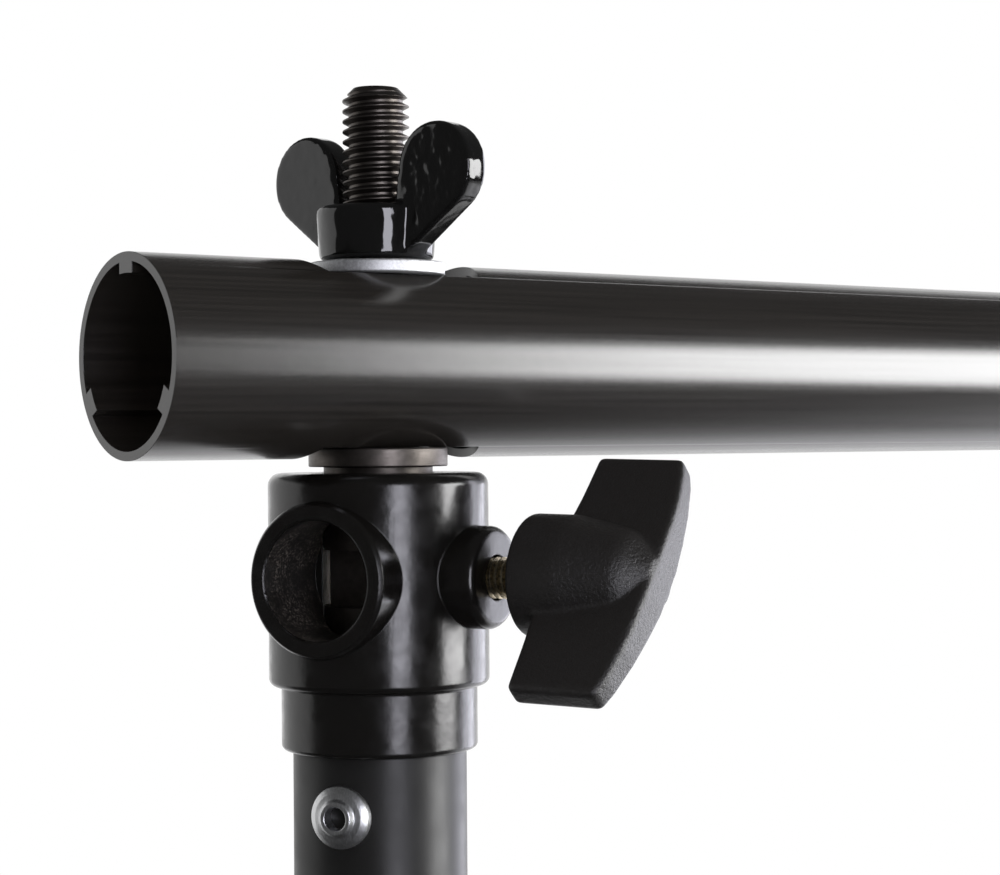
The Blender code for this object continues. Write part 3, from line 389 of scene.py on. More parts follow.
def stadium(radius, start, end, width):
    """A bar with round ends along X and its width across Z, from a disc whose one half is moved along."""
    piece = rod(radius, -width / 2, width / 2)
    with editing(piece):
        pick(piece, "VERT", lambda vertex: vertex.co.x > MERGE)
        bpy.ops.transform.translate(value=(end - start, 0, 0))
    return place(piece, shift(start))


def hulled(piece):
    """Wrap a piece in its convex hull."""
    with editing(piece):
        bpy.ops.mesh.convex_hull()
    return piece


def melted(piece, voxel, passes):
    """Melt gathered bodies into one skin, and soften it as thick paint or a moulding's corners are."""
    shape(piece, "REMESH", mode="VOXEL", voxel_size=voxel, use_smooth_shade=True)
    shape(piece, "SMOOTH", factor=0.5, iterations=passes)
    return piece


def threaded(diameter, pitch, low, high, chamfer, steps=48):
    """A right-handed screw thread along Z: one pitch of its profile, wound up, its ends cut to a chamfer."""
    depth = 0.6134 * pitch  # of a metric screw's thread
    crest = diameter / 2
    root = crest - depth
    root_flat = pitch / 4
    crest_flat = pitch / 8
    flank = (pitch - root_flat - crest_flat) / 2
    profile = [(root, 0), (root, root_flat), (crest, root_flat + flank),
               (crest, root_flat + flank + crest_flat), (root, pitch)]
    spare = 2  # turns past each end
    turns = math.ceil((high - low) / pitch) + 2 * spare
    deselect()
    bpy.ops.mesh.primitive_plane_add(size=pitch, location=(root, 0, low - spare * pitch))
    piece = bpy.context.object
    with editing(piece):
        bpy.ops.mesh.merge(type="CENTER")
        for before, after in zip(profile, profile[1:]):
            step = (after[0] - before[0], 0, after[1] - before[1])
            bpy.ops.mesh.extrude_vertices_move(TRANSFORM_OT_translate={"value": step})
    place(piece, Matrix())
    shape(piece, "SCREW", axis="Z", angle=2 * math.pi, screw_offset=pitch, iterations=turns, steps=steps,
          render_steps=steps, use_merge_vertices=True, merge_threshold=MERGE)
    with editing(piece):
        bpy.ops.mesh.remove_doubles(threshold=MERGE)
        bpy.ops.mesh.fill_holes(sides=0)
    turn_outwards(piece)
    over = crest + crest_flat
    blank = turned([(0, high, 0), (crest - chamfer, high, 0), (over, high - chamfer - crest_flat, 0),
                    (over, low, 0), (0, low, 0)], steps, steps=1)
    combine(piece, blank, "INTERSECT")
    return piece


# Finishes: each gives the inputs of a Principled shader, with the object's coordinates in millimetres


def feed(tree, node, inputs):
    """Give a node its inputs, as numbers or as outputs to link."""
    for key, value in inputs.items():
        if isinstance(value, bpy.types.NodeSocket):
            tree.links.new(value, node.inputs[key])
        else:
            node.inputs[key].default_value = value


def add_node(tree, kind, inputs=None, **settings):
    """Add a node with its settings and inputs."""
    node = tree.nodes.new(kind)
    for key, value in settings.items():
        setattr(node, key, value)
    feed(tree, node, inputs or {})
    return node


def new_finish(name):
    """A material with its node tree, its Principled shader and the object's coordinates in millimetres."""
    material = bpy.data.materials.new(name)
    material.use_nodes = True
    tree = material.node_tree
    spot = add_node(tree, "ShaderNodeTexCoord").outputs["Object"]
    return material, tree, tree.nodes["Principled BSDF"], stretched(tree, spot, (1 / MM,) * 3)


def stretched(tree, vector, scale):
    return add_node(tree, "ShaderNodeMapping", {"Vector": vector, "Scale": scale}).outputs["Vector"]


def noise(tree, vector, per_mm, detail=3, roughness=0.5):
    """Noise with so many features to the millimetre."""
    inputs = {"Vector": vector, "Scale": per_mm, "Detail": detail, "Roughness": roughness}
    return add_node(tree, "ShaderNodeTexNoise", inputs).outputs["Fac"]


def spread(tree, value, low, high, new_low, new_high):
    """Map a value from one range to another, and clamp it."""
    inputs = {"Value": value, "From Min": low, "From Max": high, "To Min": new_low, "To Max": new_high}
    return add_node(tree, "ShaderNodeMapRange", inputs).outputs["Result"]


def product(tree, first, second):
    return add_node(tree, "ShaderNodeMath", {0: first, 1: second}, operation="MULTIPLY").outputs["Value"]


def blend(tree, amount, first, second):
    """Mix two colours by an amount."""
    inputs = {"Factor": amount, 6: (*first, 1), 7: (*second, 1)}
    return add_node(tree, "ShaderNodeMix", inputs, data_type="RGBA").outputs[2]


def mottled(tree, value, low, high, first, second):
    """Go from one colour to another as a value goes from low to high."""
    return blend(tree, spread(tree, value, low, high, 0, 1), first, second)


def bump(tree, height, distance, strength, normal=None):
    inputs = {"Height": height, "Distance": distance, "Strength": strength}
    if normal:
        inputs["Normal"] = normal
    return add_node(tree, "ShaderNodeBump", inputs).outputs["Normal"]


def soft_edges(tree, radius):
    """The round that paint or a file leaves on every edge, too fine to be modelled."""
    return add_node(tree, "ShaderNodeBevel", {"Radius": radius}, samples=6).outputs["Normal"]


def ray_kind(tree, kind):
    """One for camera or glossy rays, nought for others."""
    return add_node(tree, "ShaderNodeLightPath").outputs[f"Is {kind} Ray"]


def scaled(colour_value, factor):
    return tuple(min(part * factor, 1) for part in colour_value)


def gloss_enamel(tree, mm, colours):
    """Stoved gloss enamel on zinc castings: a deep black with mirror lights, a faint orange peel and edges
    that the paint has rounded."""
    peel = bump(tree, noise(tree, mm, 0.9, 2, 0.4), 0.05 * MM, 0.35, soft_edges(tree, 0.35 * MM))
    return {
        "Base Color": (*colours.enamel, 1),
        "IOR": 1.52,
        "Roughness": spread(tree, noise(tree, mm, 0.35, 2), 0.35, 0.65, 0.17, 0.27),
        "Normal": bump(tree, noise(tree, mm, 4.5, 3, 0.6), 0.02 * MM, 0.3, peel),
    }


def dipped_enamel(tree, mm, colours):
    """A thick dipped coat: wet-looking black that softens every corner and waves slightly."""
    return {
        "Base Color": (*colours.dip_coat, 1),
        "IOR": 1.55,
        "Roughness": 0.07,
        "Normal": bump(tree, noise(tree, mm, 0.45, 1, 0.4), 0.14 * MM, 0.7),
    }


def anodised_bar(tree, mm, colours):
    """Black anodised aluminium: a satin sheen that spreads softly round the bar, with a very fine tooth and
    faint drawing lines along it."""
    lines = noise(tree, stretched(tree, mm, (0.02, 1.6, 1.6)), 1.0, 3)
    return {
        "Base Color": mottled(tree, lines, 0.3, 0.7, scaled(colours.anodising, 0.75),
                              scaled(colours.anodising, 1.3)),
        "IOR": 1.76,
        "Roughness": spread(tree, lines, 0.3, 0.7, 0.22, 0.26),
        "Normal": bump(tree, noise(tree, mm, 7.0, 2, 0.6), 0.02 * MM, 0.35, soft_edges(tree, 0.15 * MM)),
    }


def satin_paint(tree, mm, colours):
    """Satin black powder paint on steel tube: even and dark, with a slight grain and soft streaks."""
    return {
        "Base Color": (*colours.tube_paint, 1),
        "IOR": 1.42,
        "Roughness": spread(tree, noise(tree, mm, 0.2, 2), 0.35, 0.65, 0.36, 0.43),
        "Normal": bump(tree, noise(tree, mm, 3.0, 3, 0.6), 0.03 * MM, 0.3, soft_edges(tree, 0.2 * MM)),
    }


def moulded_plastic(tree, mm, colours):
    """Glass-filled nylon from a spark-eroded mould: a dry near-black with a fine even grain that turns grey
    where light rakes over it."""
    grain = bump(tree, noise(tree, mm, 1.9, 3, 0.7), 0.17 * MM, 1.0)
    return {
        "Base Color": (*colours.plastic, 1),
        "Roughness": 0.46,
        "Specular IOR Level": 0.8,
        "Normal": bump(tree, noise(tree, mm, 0.25, 2), 0.1 * MM, 0.3, grain),
    }


def foot_rubber(tree, mm, colours):
    """Moulded rubber: dull black, a little paler where dust and wear lie."""
    wear = noise(tree, mm, 0.12, 4, 0.6)
    return {
        "Base Color": mottled(tree, wear, 0.45, 0.75, colours.rubber, scaled(colours.rubber, 2.6)),
        "Roughness": 0.78,
        "Normal": bump(tree, noise(tree, mm, 2.5, 3, 0.6), 0.08 * MM, 0.6),
    }


def black_oxide(tree, mm, colours):
    """Blackened turned steel: dark brown-grey metal, faintly stained, with fine lathe lines."""
    lines = noise(tree, stretched(tree, mm, (0.3, 0.3, 9.0)), 1.0, 3)
    stain = noise(tree, mm, 0.8, 3)
    return {
        "Base Color": mottled(tree, stain, 0.35, 0.65, scaled(colours.oxide, 0.8), colours.oxide),
        "Metallic": 1.0,
        "Roughness": spread(tree, lines, 0.3, 0.7, 0.36, 0.48),
        "Normal": bump(tree, lines, 0.03 * MM, 0.5, soft_edges(tree, 0.12 * MM)),
    }


def bright_zinc(tree, mm, colours):
    """Bright zinc plate on a stamped washer: silver with a mottled, slightly worn face and rim."""
    mottle = noise(tree, mm, 2.6, 4, 0.7)
    return {
        "Base Color": mottled(tree, mottle, 0.35, 0.65, scaled(colours.zinc, 0.75), colours.zinc),
        "Metallic": 1.0,
        "Roughness": spread(tree, mottle, 0.3, 0.7, 0.5, 0.68),
        "Normal": bump(tree, mottle, 0.03 * MM, 0.5, soft_edges(tree, 0.2 * MM)),
    }


def yellow_zinc(tree, mm, colours):
    """Yellow passivated zinc on a machine screw: pale brass, with spots of dirt."""
    dirt = noise(tree, mm, 2.2, 3, 0.6)
    return {
        "Base Color": mottled(tree, dirt, 0.4, 0.65, colours.brass_zinc, scaled(colours.brass_zinc, 0.5)),
        "Metallic": 1.0,
        "Roughness": spread(tree, dirt, 0.35, 0.65, 0.36, 0.5),
        "Normal": soft_edges(tree, 0.1 * MM),
    }


def rivet_metal(tree, mm, colours):
    """Bright rolled aluminium: soft silver with fine scratches from the setting tool."""
    scratch = noise(tree, stretched(tree, mm, (5.0, 5.0, 1.2)), 1.0, 4, 0.6)
    return {
        "Base Color": mottled(tree, scratch, 0.35, 0.7, scaled(colours.aluminium, 0.75), colours.aluminium),
        "Metallic": 1.0,
        "Roughness": spread(tree, scratch, 0.3, 0.7, 0.28, 0.42),
        "Normal": bump(tree, scratch, 0.03 * MM, 0.5, soft_edges(tree, 0.15 * MM)),
    }


def dusty_bore(tree, mm, colours):
    """The castings' sockets: a dull thin coat with pale dust and filings lying in it in patches."""
    speck = noise(tree, mm, 2.6, 3, 0.75)
    patch = noise(tree, mm, 0.22, 2)
    dust = product(tree, spread(tree, speck, 0.5, 0.75, 0, 1), spread(tree, patch, 0.4, 0.62, 0.15, 1))
    return {
        "Base Color": blend(tree, dust, scaled(colours.enamel, 2), colour("7a736c")),
        "Roughness": 0.55,
        "Normal": bump(tree, speck, 0.05 * MM, 0.6, soft_edges(tree, 0.15 * MM)),
    }


def bare_bore_highlight(tree, mm, colours):
    """The bore that the spigot sits in: pale bare zinc with a painted highlight, its colour made near white
    and not metallic, so that it shows as a bright strip past its waist.
    """
    marks = noise(tree, stretched(tree, mm, (2.5, 2.5, 0.6)), 1.0, 3)
    return {
        # Painted highlight: up to a tenth paler than the zinc colour, standing in for light that reaches the
        # bore past the spigot's waist
        "Base Color": mottled(tree, marks, 0.3, 0.5, scaled(colours.zinc, 0.6), scaled(colours.zinc, 1.1)),
        "Roughness": 0.5,
    }


FINISHES = {
    "gloss_black_paint": ("stoved_gloss_enamel", gloss_enamel),
    "wing_nut_coat": ("dipped_gloss_coat", dipped_enamel),
    "black_anodised": ("black_anodised_aluminium", anodised_bar),
    "satin_paint": ("satin_black_powder_paint", satin_paint),
    "black_plastic": ("grained_black_nylon", moulded_plastic),
    "black_rubber": ("moulded_black_rubber", foot_rubber),
    "black_oxide": ("black_oxide_steel", black_oxide),
    "bright_zinc": ("bright_zinc_plate", bright_zinc),
    "yellow_zinc": ("yellow_zinc_screw", yellow_zinc),
    "rivet_aluminium": ("rolled_aluminium", rivet_metal),
    "dusty_bore": ("dusty_black_bore", dusty_bore),
    "bare_bore_highlight": ("bare_zinc_painted_highlight", bare_bore_highlight),
}
made_finishes = {}


def finish_of(key):
    """The material of a finish, made when it is first asked for."""
    if key not in made_finishes:
        name, inputs = FINISHES[key]
        material, tree, shader, mm = new_finish(name)
        feed(tree, shader, inputs(tree, mm, bpy.context.scene.stand_colours))
        made_finishes[key] = material
    return made_finishes[key]


def dress(piece, name, body, node, finish):
    """Name a finished piece, give it its finish, and tell the frame what it rides on and stands for."""
    take(piece)
    bpy.ops.object.shade_smooth_by_angle(angle=SMOOTH_ANGLE)
    piece.name = name
    piece.data.name = name
    piece.data.materials.clear()
    piece.data.materials.append(finish_of(finish))
    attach(piece, body)
    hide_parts(node)


def dress_pair(piece, where, name, body, node, finish):
    """Put a piece in its place on the left, copy it to the right, and dress both. Their names have a gap for
    the stand or for the crossbar's half."""
    place(piece, where)
    twin = place(copied(piece), HALF_TURN)
    for each, stand, half in ((piece, "a", "left"), (twin, "b", "right")):
        dress(each, *(text.format(stand=stand, half=half) for text in (name, body, node)), finish)
    return piece, twin


def dress_stands(piece, where, name, body, node, finish):
    """Dress a piece of stand A and its twin on stand B."""
    return dress_pair(piece, where, *(text + "_{stand}" for text in (name, body, node)), finish)


def touch_up(piece, where, finish, test):
    """Give another finish to the faces whose middle and normal, in a frame, pass a test."""
    piece.data.materials.append(finish_of(finish))
    back = where.inverted()
    turn = back.to_3x3()
    with editing(piece):
        pick(piece, "FACE", lambda face: test(back @ face.calc_center_median(), turn @ face.normal))
        piece.active_material_index = len(piece.data.materials) - 1
        bpy.ops.object.material_slot_assign()


# Pieces of the head: heights are from the casting's top


FLANGE_TOP = 3.65 * MM
FLANGE_FOOT = 0.9 * MM
STUD_TOP = 56.3 * MM
PIN_DEPTH = 24 * MM
WAIST_TOP = -11.2 * MM
WAIST_FOOT = -19.4 * MM
WAIST_CORNER = 7.5 * MM
WASHER_BASE = 28.9 * MM
WASHER_TOP = 30.7 * MM
NUT_BASE = 31 * MM
NUT_TOP = 38.9 * MM
WING_TOP = 50.1 * MM
TUBE_SEAT = -27.5 * MM
TOP_TUBE_TOP = HEAD_HEIGHT - 27.8 * MM
RIVET_HEIGHT = -48.7 * MM


class BACKDROP_OT_spigots(bpy.types.Operator):
    """Turn the spigots' flanges and pins, and wind their threaded studs"""

    bl_idname = "backdrop.spigots"
    bl_label = "Spigots"

    def execute(self, context):
        sizes = context.scene.stand_sizes
        flange = sizes.flange_diameter / 2
        pin = sizes.pin_diameter / 2
        spigot = turned([
            (0, FLANGE_TOP, 0), (flange, FLANGE_TOP, 0.3 * MM), (flange, FLANGE_FOOT, 0.2 * MM),
            (pin, FLANGE_FOOT, 0.15 * MM), (pin, -PIN_DEPTH, 0.8 * MM), (0, -PIN_DEPTH, 0)])
        waist = rod(flange, WAIST_FOOT, WAIST_TOP)
        cut(waist, place(rod(WAIST_CORNER, -PIN_DEPTH, 0, 6), spin(WAIST_AZIMUTH, "Z")))
        cut(spigot, waist)
        dress_stands(spigot, HEAD_A, "spigot_pin", "top_body", "spigot_stud", "black_oxide")
        stud = threaded(sizes.stud_diameter, sizes.stud_pitch, FLANGE_TOP - CLEARANCE, STUD_TOP, 1.6 * MM)
        dress_stands(stud, HEAD_A, "spigot_thread", "top_body", "spigot_stud", "black_oxide")
        return {"FINISHED"}


class BACKDROP_OT_washers(bpy.types.Operator):
    """Turn the washers, with their stamped edges"""

    bl_idname = "backdrop.washers"
    bl_label = "Washers"

    def execute(self, context):
        sizes = context.scene.stand_sizes
        play = 0.35 * MM
        washer = ring(sizes.stud_diameter / 2 + play, sizes.washer_diameter / 2, WASHER_BASE, WASHER_TOP,
                      (0.2, 0.35, 0.2, 0.2))
        dress_pair(washer, HEAD_A, "washer_plate_{stand}", "bar_{half}_body", "washer_{stand}", "bright_zinc")
        return {"FINISHED"}


class BACKDROP_OT_wing_nuts(bpy.types.Operator):
    """Melt hub and wings into the dipped wing nuts"""

    bl_idname = "backdrop.wing_nuts"
    bl_label = "Wing Nuts"

    def execute(self, context):
        sizes = context.scene.stand_sizes
        bore = sizes.stud_diameter / 2 + CLEARANCE
        lobe = 6.75 * MM
        half = 4.1 * MM / 2
        loss = 0.2 * MM  # what melting takes off a wing's rim
        nut = turned([
            (bore, NUT_TOP, 0.4 * MM), (8.95 * MM, NUT_TOP, 0.7 * MM),
            (8.4 * MM, NUT_BASE, 0.5 * MM), (bore, NUT_BASE, 0.4 * MM)], closed=True)
        corner = shift(sizes.wing_span / 2 - lobe + loss, WING_TOP - lobe + loss)
        wings = []
        for turn in (0, math.pi):
            disc = place(rod(lobe, -half, half), corner)
            root = block((5.6 * MM, NUT_BASE + 1.1 * MM, -half), (8.7 * MM, NUT_TOP - 0.4 * MM, half))
            wing = hulled(gather(disc, root))
            bevel(wing, 1.3 * MM, 4, 50 * DEG)
            if turn == 0:  # one wing is a little twisted about its middle
                middle = shift(10.5 * MM)
                place(wing, middle @ spin(2.4 * DEG, "Y") @ middle.inverted())
            wings.append(place(wing, spin(turn, "Z") @ upright(WING_AZIMUTH)))
        nut = melted(gather(nut, *wings), 0.18 * MM, 70)
        dress_stands(nut, HEAD_A, "wing_nut_coated", "wing_nut_body", "wing_nut", "wing_nut_coat")
        return {"FINISHED"}


def boss_start(bore_radius, outer_radius, half_width):
    """Where a side boss starts, inside the wall of a sleeve over the boss's whole width."""
    return (bore_radius + math.sqrt(outer_radius ** 2 - half_width ** 2)) / 2


def add_boss(piece, where, radius, start, reach, edge, segments=ROUND):
    """Join a knob's boss to a piece and drill it for the knob's screw."""
    boss = turned([(0, reach, 0), (radius, reach, edge), (radius, start, 0), (0, start, 0)], segments)
    unite(piece, place(boss, where))
    screw = bpy.context.scene.stand_sizes.screw_diameter / 2 + CLEARANCE
    cut(piece, place(rod(screw, 0, 2 * reach), where))


class BACKDROP_OT_castings(bpy.types.Operator):
    """Model the head castings, with their side sockets and screw bosses"""

    bl_idname = "backdrop.castings"
    bl_label = "Head Castings"

    def execute(self, context):
        sizes = context.scene.stand_sizes
        body = sizes.casting_diameter / 2
        sleeve = sizes.sleeve_diameter / 2
        bore = sizes.pin_diameter / 2 + 0.25 * MM
        seat = sizes.top_tube_diameter / 2 + CLEARANCE
        casting = turned([
            (bore, 0, 0.3 * MM), (body, 0, 1.8 * MM), (body, -sizes.casting_depth, 1.1 * MM),
            (sleeve, -sizes.casting_depth, 0.35 * MM), (sleeve, -sizes.sleeve_depth, 0.8 * MM),
            (seat, -sizes.sleeve_depth, 0.2 * MM), (seat, TUBE_SEAT, 0), (bore, TUBE_SEAT, 0)], closed=True)
        rim = sizes.socket_diameter / 2
        reach = sizes.socket_reach
        start = boss_start(bore, body, rim)
        side = sideways(SOCKET_AZIMUTH, 0, -sizes.side_depth)
        socket = turned([
            (0, reach, 0), (rim - 0.45 * MM, reach, 0.1 * MM), (rim, reach - 0.55 * MM, 0.15 * MM),
            (rim, start, 0), (0, start, 0)])
        unite(casting, place(socket, side))
        hole = sizes.socket_bore / 2
        cut(casting, place(rod(hole, 4 * MM, 2 * reach, ROUND), side))
        add_boss(casting, sideways(BOSS_AZIMUTH, 0, -sizes.side_depth), sizes.boss_diameter / 2, start,
                 sizes.boss_reach, 1.3 * MM)
        # The mouth touches the bore all round, so it is cut last: no other join has to cope with that rim
        countersink = 0.3 * MM
        mouth = turned([
            (0, 2 * reach, 0), (hole + reach, 2 * reach, 0), (hole, reach - countersink, 0),
            (0, reach - countersink, 0)], steps=1)
        cut(casting, place(mouth, side))

        def in_bore(radius, middle, normal):
            return math.hypot(middle.x, middle.y) < radius + 0.1 * MM and abs(normal.z) < 0.5

        def dusty(middle, normal):
            return in_bore(hole, middle, normal) and middle.z > 0

        # The bore past the spigot's waist, which gets the painted highlight of pale bare zinc
        def bare(middle, normal):
            return in_bore(bore, middle, normal) and TUBE_SEAT < middle.z < -2 * MM

        pair = dress_stands(casting, HEAD_A, "head_casting_painted", "top_body", "head_casting",
                            "gloss_black_paint")
        for each, where in zip(pair, (HEAD_A, HALF_TURN @ HEAD_A)):
            touch_up(each, where @ side, "dusty_bore", dusty)
            touch_up(each, where, "bare_bore_highlight", bare)
        return {"FINISHED"}


COLLAR_WALL = 3.7 * MM
COLLAR_BOSS_RADIUS = 7 * MM
COLLAR_BOSS_LENGTH = 5 * MM
COLLAR_KNOB_RISE = 18 * MM
BAR_KNOB_RISE = 17 * MM
KNOB_STANDOFF = 6 * MM
KNOB_LENGTH = 20 * MM
SCREW_PITCH = 1 * MM
# A moulded knob sits a little askew on its screw
KNOB_ASKEW = shift(-0.6 * MM, 0, -0.3 * MM) @ spin(1.5 * DEG, "Y")


def collar_knob(seat, tube, azimuth, height):
    """Where the knob of a collar round a tube sits, and how far its screw goes below it, to the tube."""
    reach = tube / 2 + CLEARANCE + COLLAR_WALL + COLLAR_BOSS_LENGTH + KNOB_STANDOFF
    return seat @ sideways(azimuth, reach, height, KNOB_COLLAR_ROLL), reach - tube / 2 - CLEARANCE


def bar_collar_seat():
    """The frame of the left bar collar: its Z runs along the bar from the section's end."""
    return HEAD_A @ shift(BAR_COLLAR_SEAT, 0, BAR_AXIS) @ spin(QUARTER_TURN, "Y")


def make_knob(half):
    """A T-knob along Z: a hub and two blades of half its span, melted into one moulding."""
    hub = turned([
        (0, KNOB_LENGTH, 0), (3.6 * MM, KNOB_LENGTH - 0.1 * MM, 0.6 * MM),
        (6.9 * MM, KNOB_LENGTH - 4 * MM, 5 * MM), (8.8 * MM, 7 * MM, 9 * MM), (8.8 * MM, 0, 0.6 * MM),
        (0, 0, 0)], ROUND_SMALL)
    # Of a blade, from its end to the hub: how far out, and in millimetres its half depth, foot and top
    stations = [(half, 2, 4, 17.4), (0.86 * half, 2.15, 4, 18.4), (0.62 * half, 2.5, 4, 19.4),
                (0.4 * half, 2.9, 3.8, 19.9), (0.18 * half, 3.3, 3.4, 20.2)]
    outer = [(x, 0, side * MM, (low + high) / 2 * MM, (high - low) / 2 * MM)
             for x, side, low, high in stations]
    inner = [(-x, *section) for x, *section in reversed(outer)]
    blades = lofted(outer + inner)
    bevel(blades, 0.8 * MM, 3, 40 * DEG)
    return melted(gather(hub, blades), 0.3 * MM, 4)


class BACKDROP_OT_knobs(bpy.types.Operator):
    """Mould the T-knobs and wind their screws"""

    bl_idname = "backdrop.knobs"
    bl_label = "T-Knobs"

    def execute(self, context):
        sizes = context.scene.stand_sizes
        knob = make_knob(sizes.knob_span / 2)
        for name, height, tube in (("upper", MID_TUBE_TOP, sizes.top_tube_diameter),
                                   ("lower", BASE_TUBE_TOP, sizes.mid_tube_diameter),
                                   ("leg", LEG_PIVOT_HEIGHT, sizes.base_tube_diameter)):
            self.fit(dress_stands, knob, f"{name}_knob", (f"{name}_knob_body", f"{name}_collar_knob"),
                     *collar_knob(STAND_A, tube, COLLAR_KNOB_AZIMUTH, height + COLLAR_KNOB_RISE))
        self.fit(dress_pair, knob, "bar_{half}_knob", ("bar_{half}_knob_body", "crossbar_{half}_knob"),
                 *collar_knob(bar_collar_seat(), 2 * BAR_INNER_RADIUS, 0, BAR_KNOB_RISE))
        reach = sizes.boss_reach + KNOB_STANDOFF
        head = HEAD_A @ sideways(BOSS_AZIMUTH, reach, -sizes.side_depth, KNOB_HEAD_ROLL)
        dress_stands(knob, head @ KNOB_ASKEW, "head_knob_moulded", "head_knob_body", "head_knob",
                     "black_plastic")
        screw = threaded(sizes.screw_diameter, SCREW_PITCH, 7.8 * MM, reach + 12 * MM, 0.7 * MM)
        dress_stands(screw, HEAD_A @ sideways(BOSS_AZIMUTH, 0, -sizes.side_depth), "head_lock_screw_wound",
                     "head_knob_body", "head_lock_screw", "yellow_zinc")
        return {"FINISHED"}

    def fit(self, dress_both, knob, name, body_and_node, where, length):
        """Put a knob's copy and its screw at a collar and at its twin."""
        dress_both(copied(knob), where, name + "_moulded", *body_and_node, "black_plastic")
        diameter = bpy.context.scene.stand_sizes.screw_diameter
        screw = threaded(diameter, SCREW_PITCH, -length, 2 * MM, 0.6 * MM, 24)
        dress_both(screw, where, name + "_screw", *body_and_node, "yellow_zinc")


# Column


class BACKDROP_OT_tubes(bpy.types.Operator):
    """Draw the column tubes and set the hollow rivets in the top ones"""

    bl_idname = "backdrop.tubes"
    bl_label = "Tubes and Rivets"

    def execute(self, context):
        sizes = context.scene.stand_sizes
        wall = 1.2 * MM
        tubes = (
            ("top", sizes.top_tube_diameter, TOP_TUBE_TOP - TUBE_LENGTH, TOP_TUBE_TOP),
            ("mid", sizes.mid_tube_diameter, MID_TUBE_TOP - TUBE_LENGTH, MID_TUBE_TOP),
            ("base", sizes.base_tube_diameter, BASE_TUBE_FOOT, BASE_TUBE_TOP),
        )
        for name, diameter, low, high in tubes:
            tube = ring(diameter / 2 - wall, diameter / 2, low, high, (0.2, 0.3, 0.3, 0.2), steps=2)
            dress_stands(tube, STAND_A, f"{name}_tube_painted", f"{name}_body", f"{name}_tube", "satin_paint")
        face = sizes.top_tube_diameter / 2
        rivet = turned([
            (1.65 * MM, face + 1.9 * MM, 0.2 * MM), (2.35 * MM, face + 1.9 * MM, 0.35 * MM),
            (2.75 * MM, face + 1.25 * MM, 0.3 * MM), (3.6 * MM, face + 1.0 * MM, 0.8 * MM),
            (4.5 * MM, face + 0.45 * MM, 0.3 * MM), (4.5 * MM, face - 1.5 * MM, 0),
            (2.6 * MM, face - 1.5 * MM, 0), (2.4 * MM, face - 3 * MM, 0), (1.65 * MM, face - 3 * MM, 0),
        ], ROUND_SMALL, closed=True, steps=4)
        saddle = place(rod(face + 0.05 * MM, -9 * MM, 9 * MM, ROUND), spin(QUARTER_TURN, "Y"))
        cut(saddle, rod(2.55 * MM, 0, face + 1 * MM))
        cut(rivet, saddle)
        dress_stands(rivet, HEAD_A @ sideways(RIVET_AZIMUTH, 0, RIVET_HEIGHT), "top_tube_rivet_rolled",
                     "top_body", "top_tube_rivet", "rivet_aluminium")
        return {"FINISHED"}


def add_collar_boss(piece, azimuth, height, bore_radius, outer_radius):
    """Join a knob's boss to a collar, from inside its wall."""
    start = boss_start(bore_radius, outer_radius, COLLAR_BOSS_RADIUS)
    reach = outer_radius + COLLAR_BOSS_LENGTH
    add_boss(piece, sideways(azimuth, 0, height), COLLAR_BOSS_RADIUS, start, reach, 0.9 * MM, ROUND_SMALL)


def make_collar(outer_tube, inner_tube, skirt, neck, azimuth):
    """A clamp collar: its skirt holds the outer tube, and its neck guides the inner one.

    The skirt ends a hair short of its length, so that collars that meet don't bite into each other.
    """
    foot = -(skirt - 0.3 * MM)
    skirt_bore = outer_tube / 2 + CLEARANCE
    neck_bore = inner_tube / 2 + CLEARANCE
    skirt_radius = skirt_bore + COLLAR_WALL
    neck_radius = neck_bore + COLLAR_WALL
    collar = turned([
        (neck_bore, neck, 0.4 * MM), (neck_radius, neck, 1.5 * MM),
        (neck_radius, COLLAR_WALL + skirt_radius - neck_radius, 1 * MM),
        (skirt_radius, COLLAR_WALL, 1.2 * MM), (skirt_radius, foot, 0.8 * MM),
        (skirt_bore, foot, 0.2 * MM), (skirt_bore, CLEARANCE, 0), (neck_bore, CLEARANCE, 0)], closed=True)
    add_collar_boss(collar, azimuth, neck - 9 * MM, neck_bore, neck_radius)
    return collar


class BACKDROP_OT_collars(bpy.types.Operator):
    """Model the clamp collars of the columns and of the crossbar"""

    bl_idname = "backdrop.collars"
    bl_label = "Clamp Collars"

    def execute(self, context):
        sizes = context.scene.stand_sizes
        top, mid, base = sizes.top_tube_diameter, sizes.mid_tube_diameter, sizes.base_tube_diameter
        for name, height, outer, inner, body in (("upper_collar", MID_TUBE_TOP, mid, top, "mid_body"),
                                                 ("lower_collar", BASE_TUBE_TOP, base, mid, "base_body")):
            collar = make_collar(outer, inner, 26 * MM, 27 * MM, COLLAR_KNOB_AZIMUTH)
            dress_stands(collar, on_stand(height), name + "_cast", body, name, "gloss_black_paint")
        collar = make_collar(sizes.bar_diameter, 2 * BAR_INNER_RADIUS, 30 * MM, 26 * MM, 0)
        dress_pair(collar, bar_collar_seat(), "bar_{half}_collar_cast", "bar_{half}_body",
                   "crossbar_{half}_collar", "gloss_black_paint")
        return {"FINISHED"}


# Tripod


def make_lug(azimuth, start, width, offset=0):
    """A round-ended lug from inside a hub's wall to round a pivot of a leg or brace."""
    radius = 5 * MM
    lug = stadium(radius, start + radius, LEG_PIVOT_RADIUS, width)
    return place(place(lug, shift(z=offset)), upright(azimuth))


def dome(radius, height, base):
    """A rivet's domed head along Z."""
    top = base + height
    foot = base - 0.5 * MM
    return turned([(0, top, 0), (radius * 0.6, top, radius * 0.3), (radius, base + height * 0.35, 0),
                   (radius, foot, 0), (0, foot, 0)], 32, steps=3)


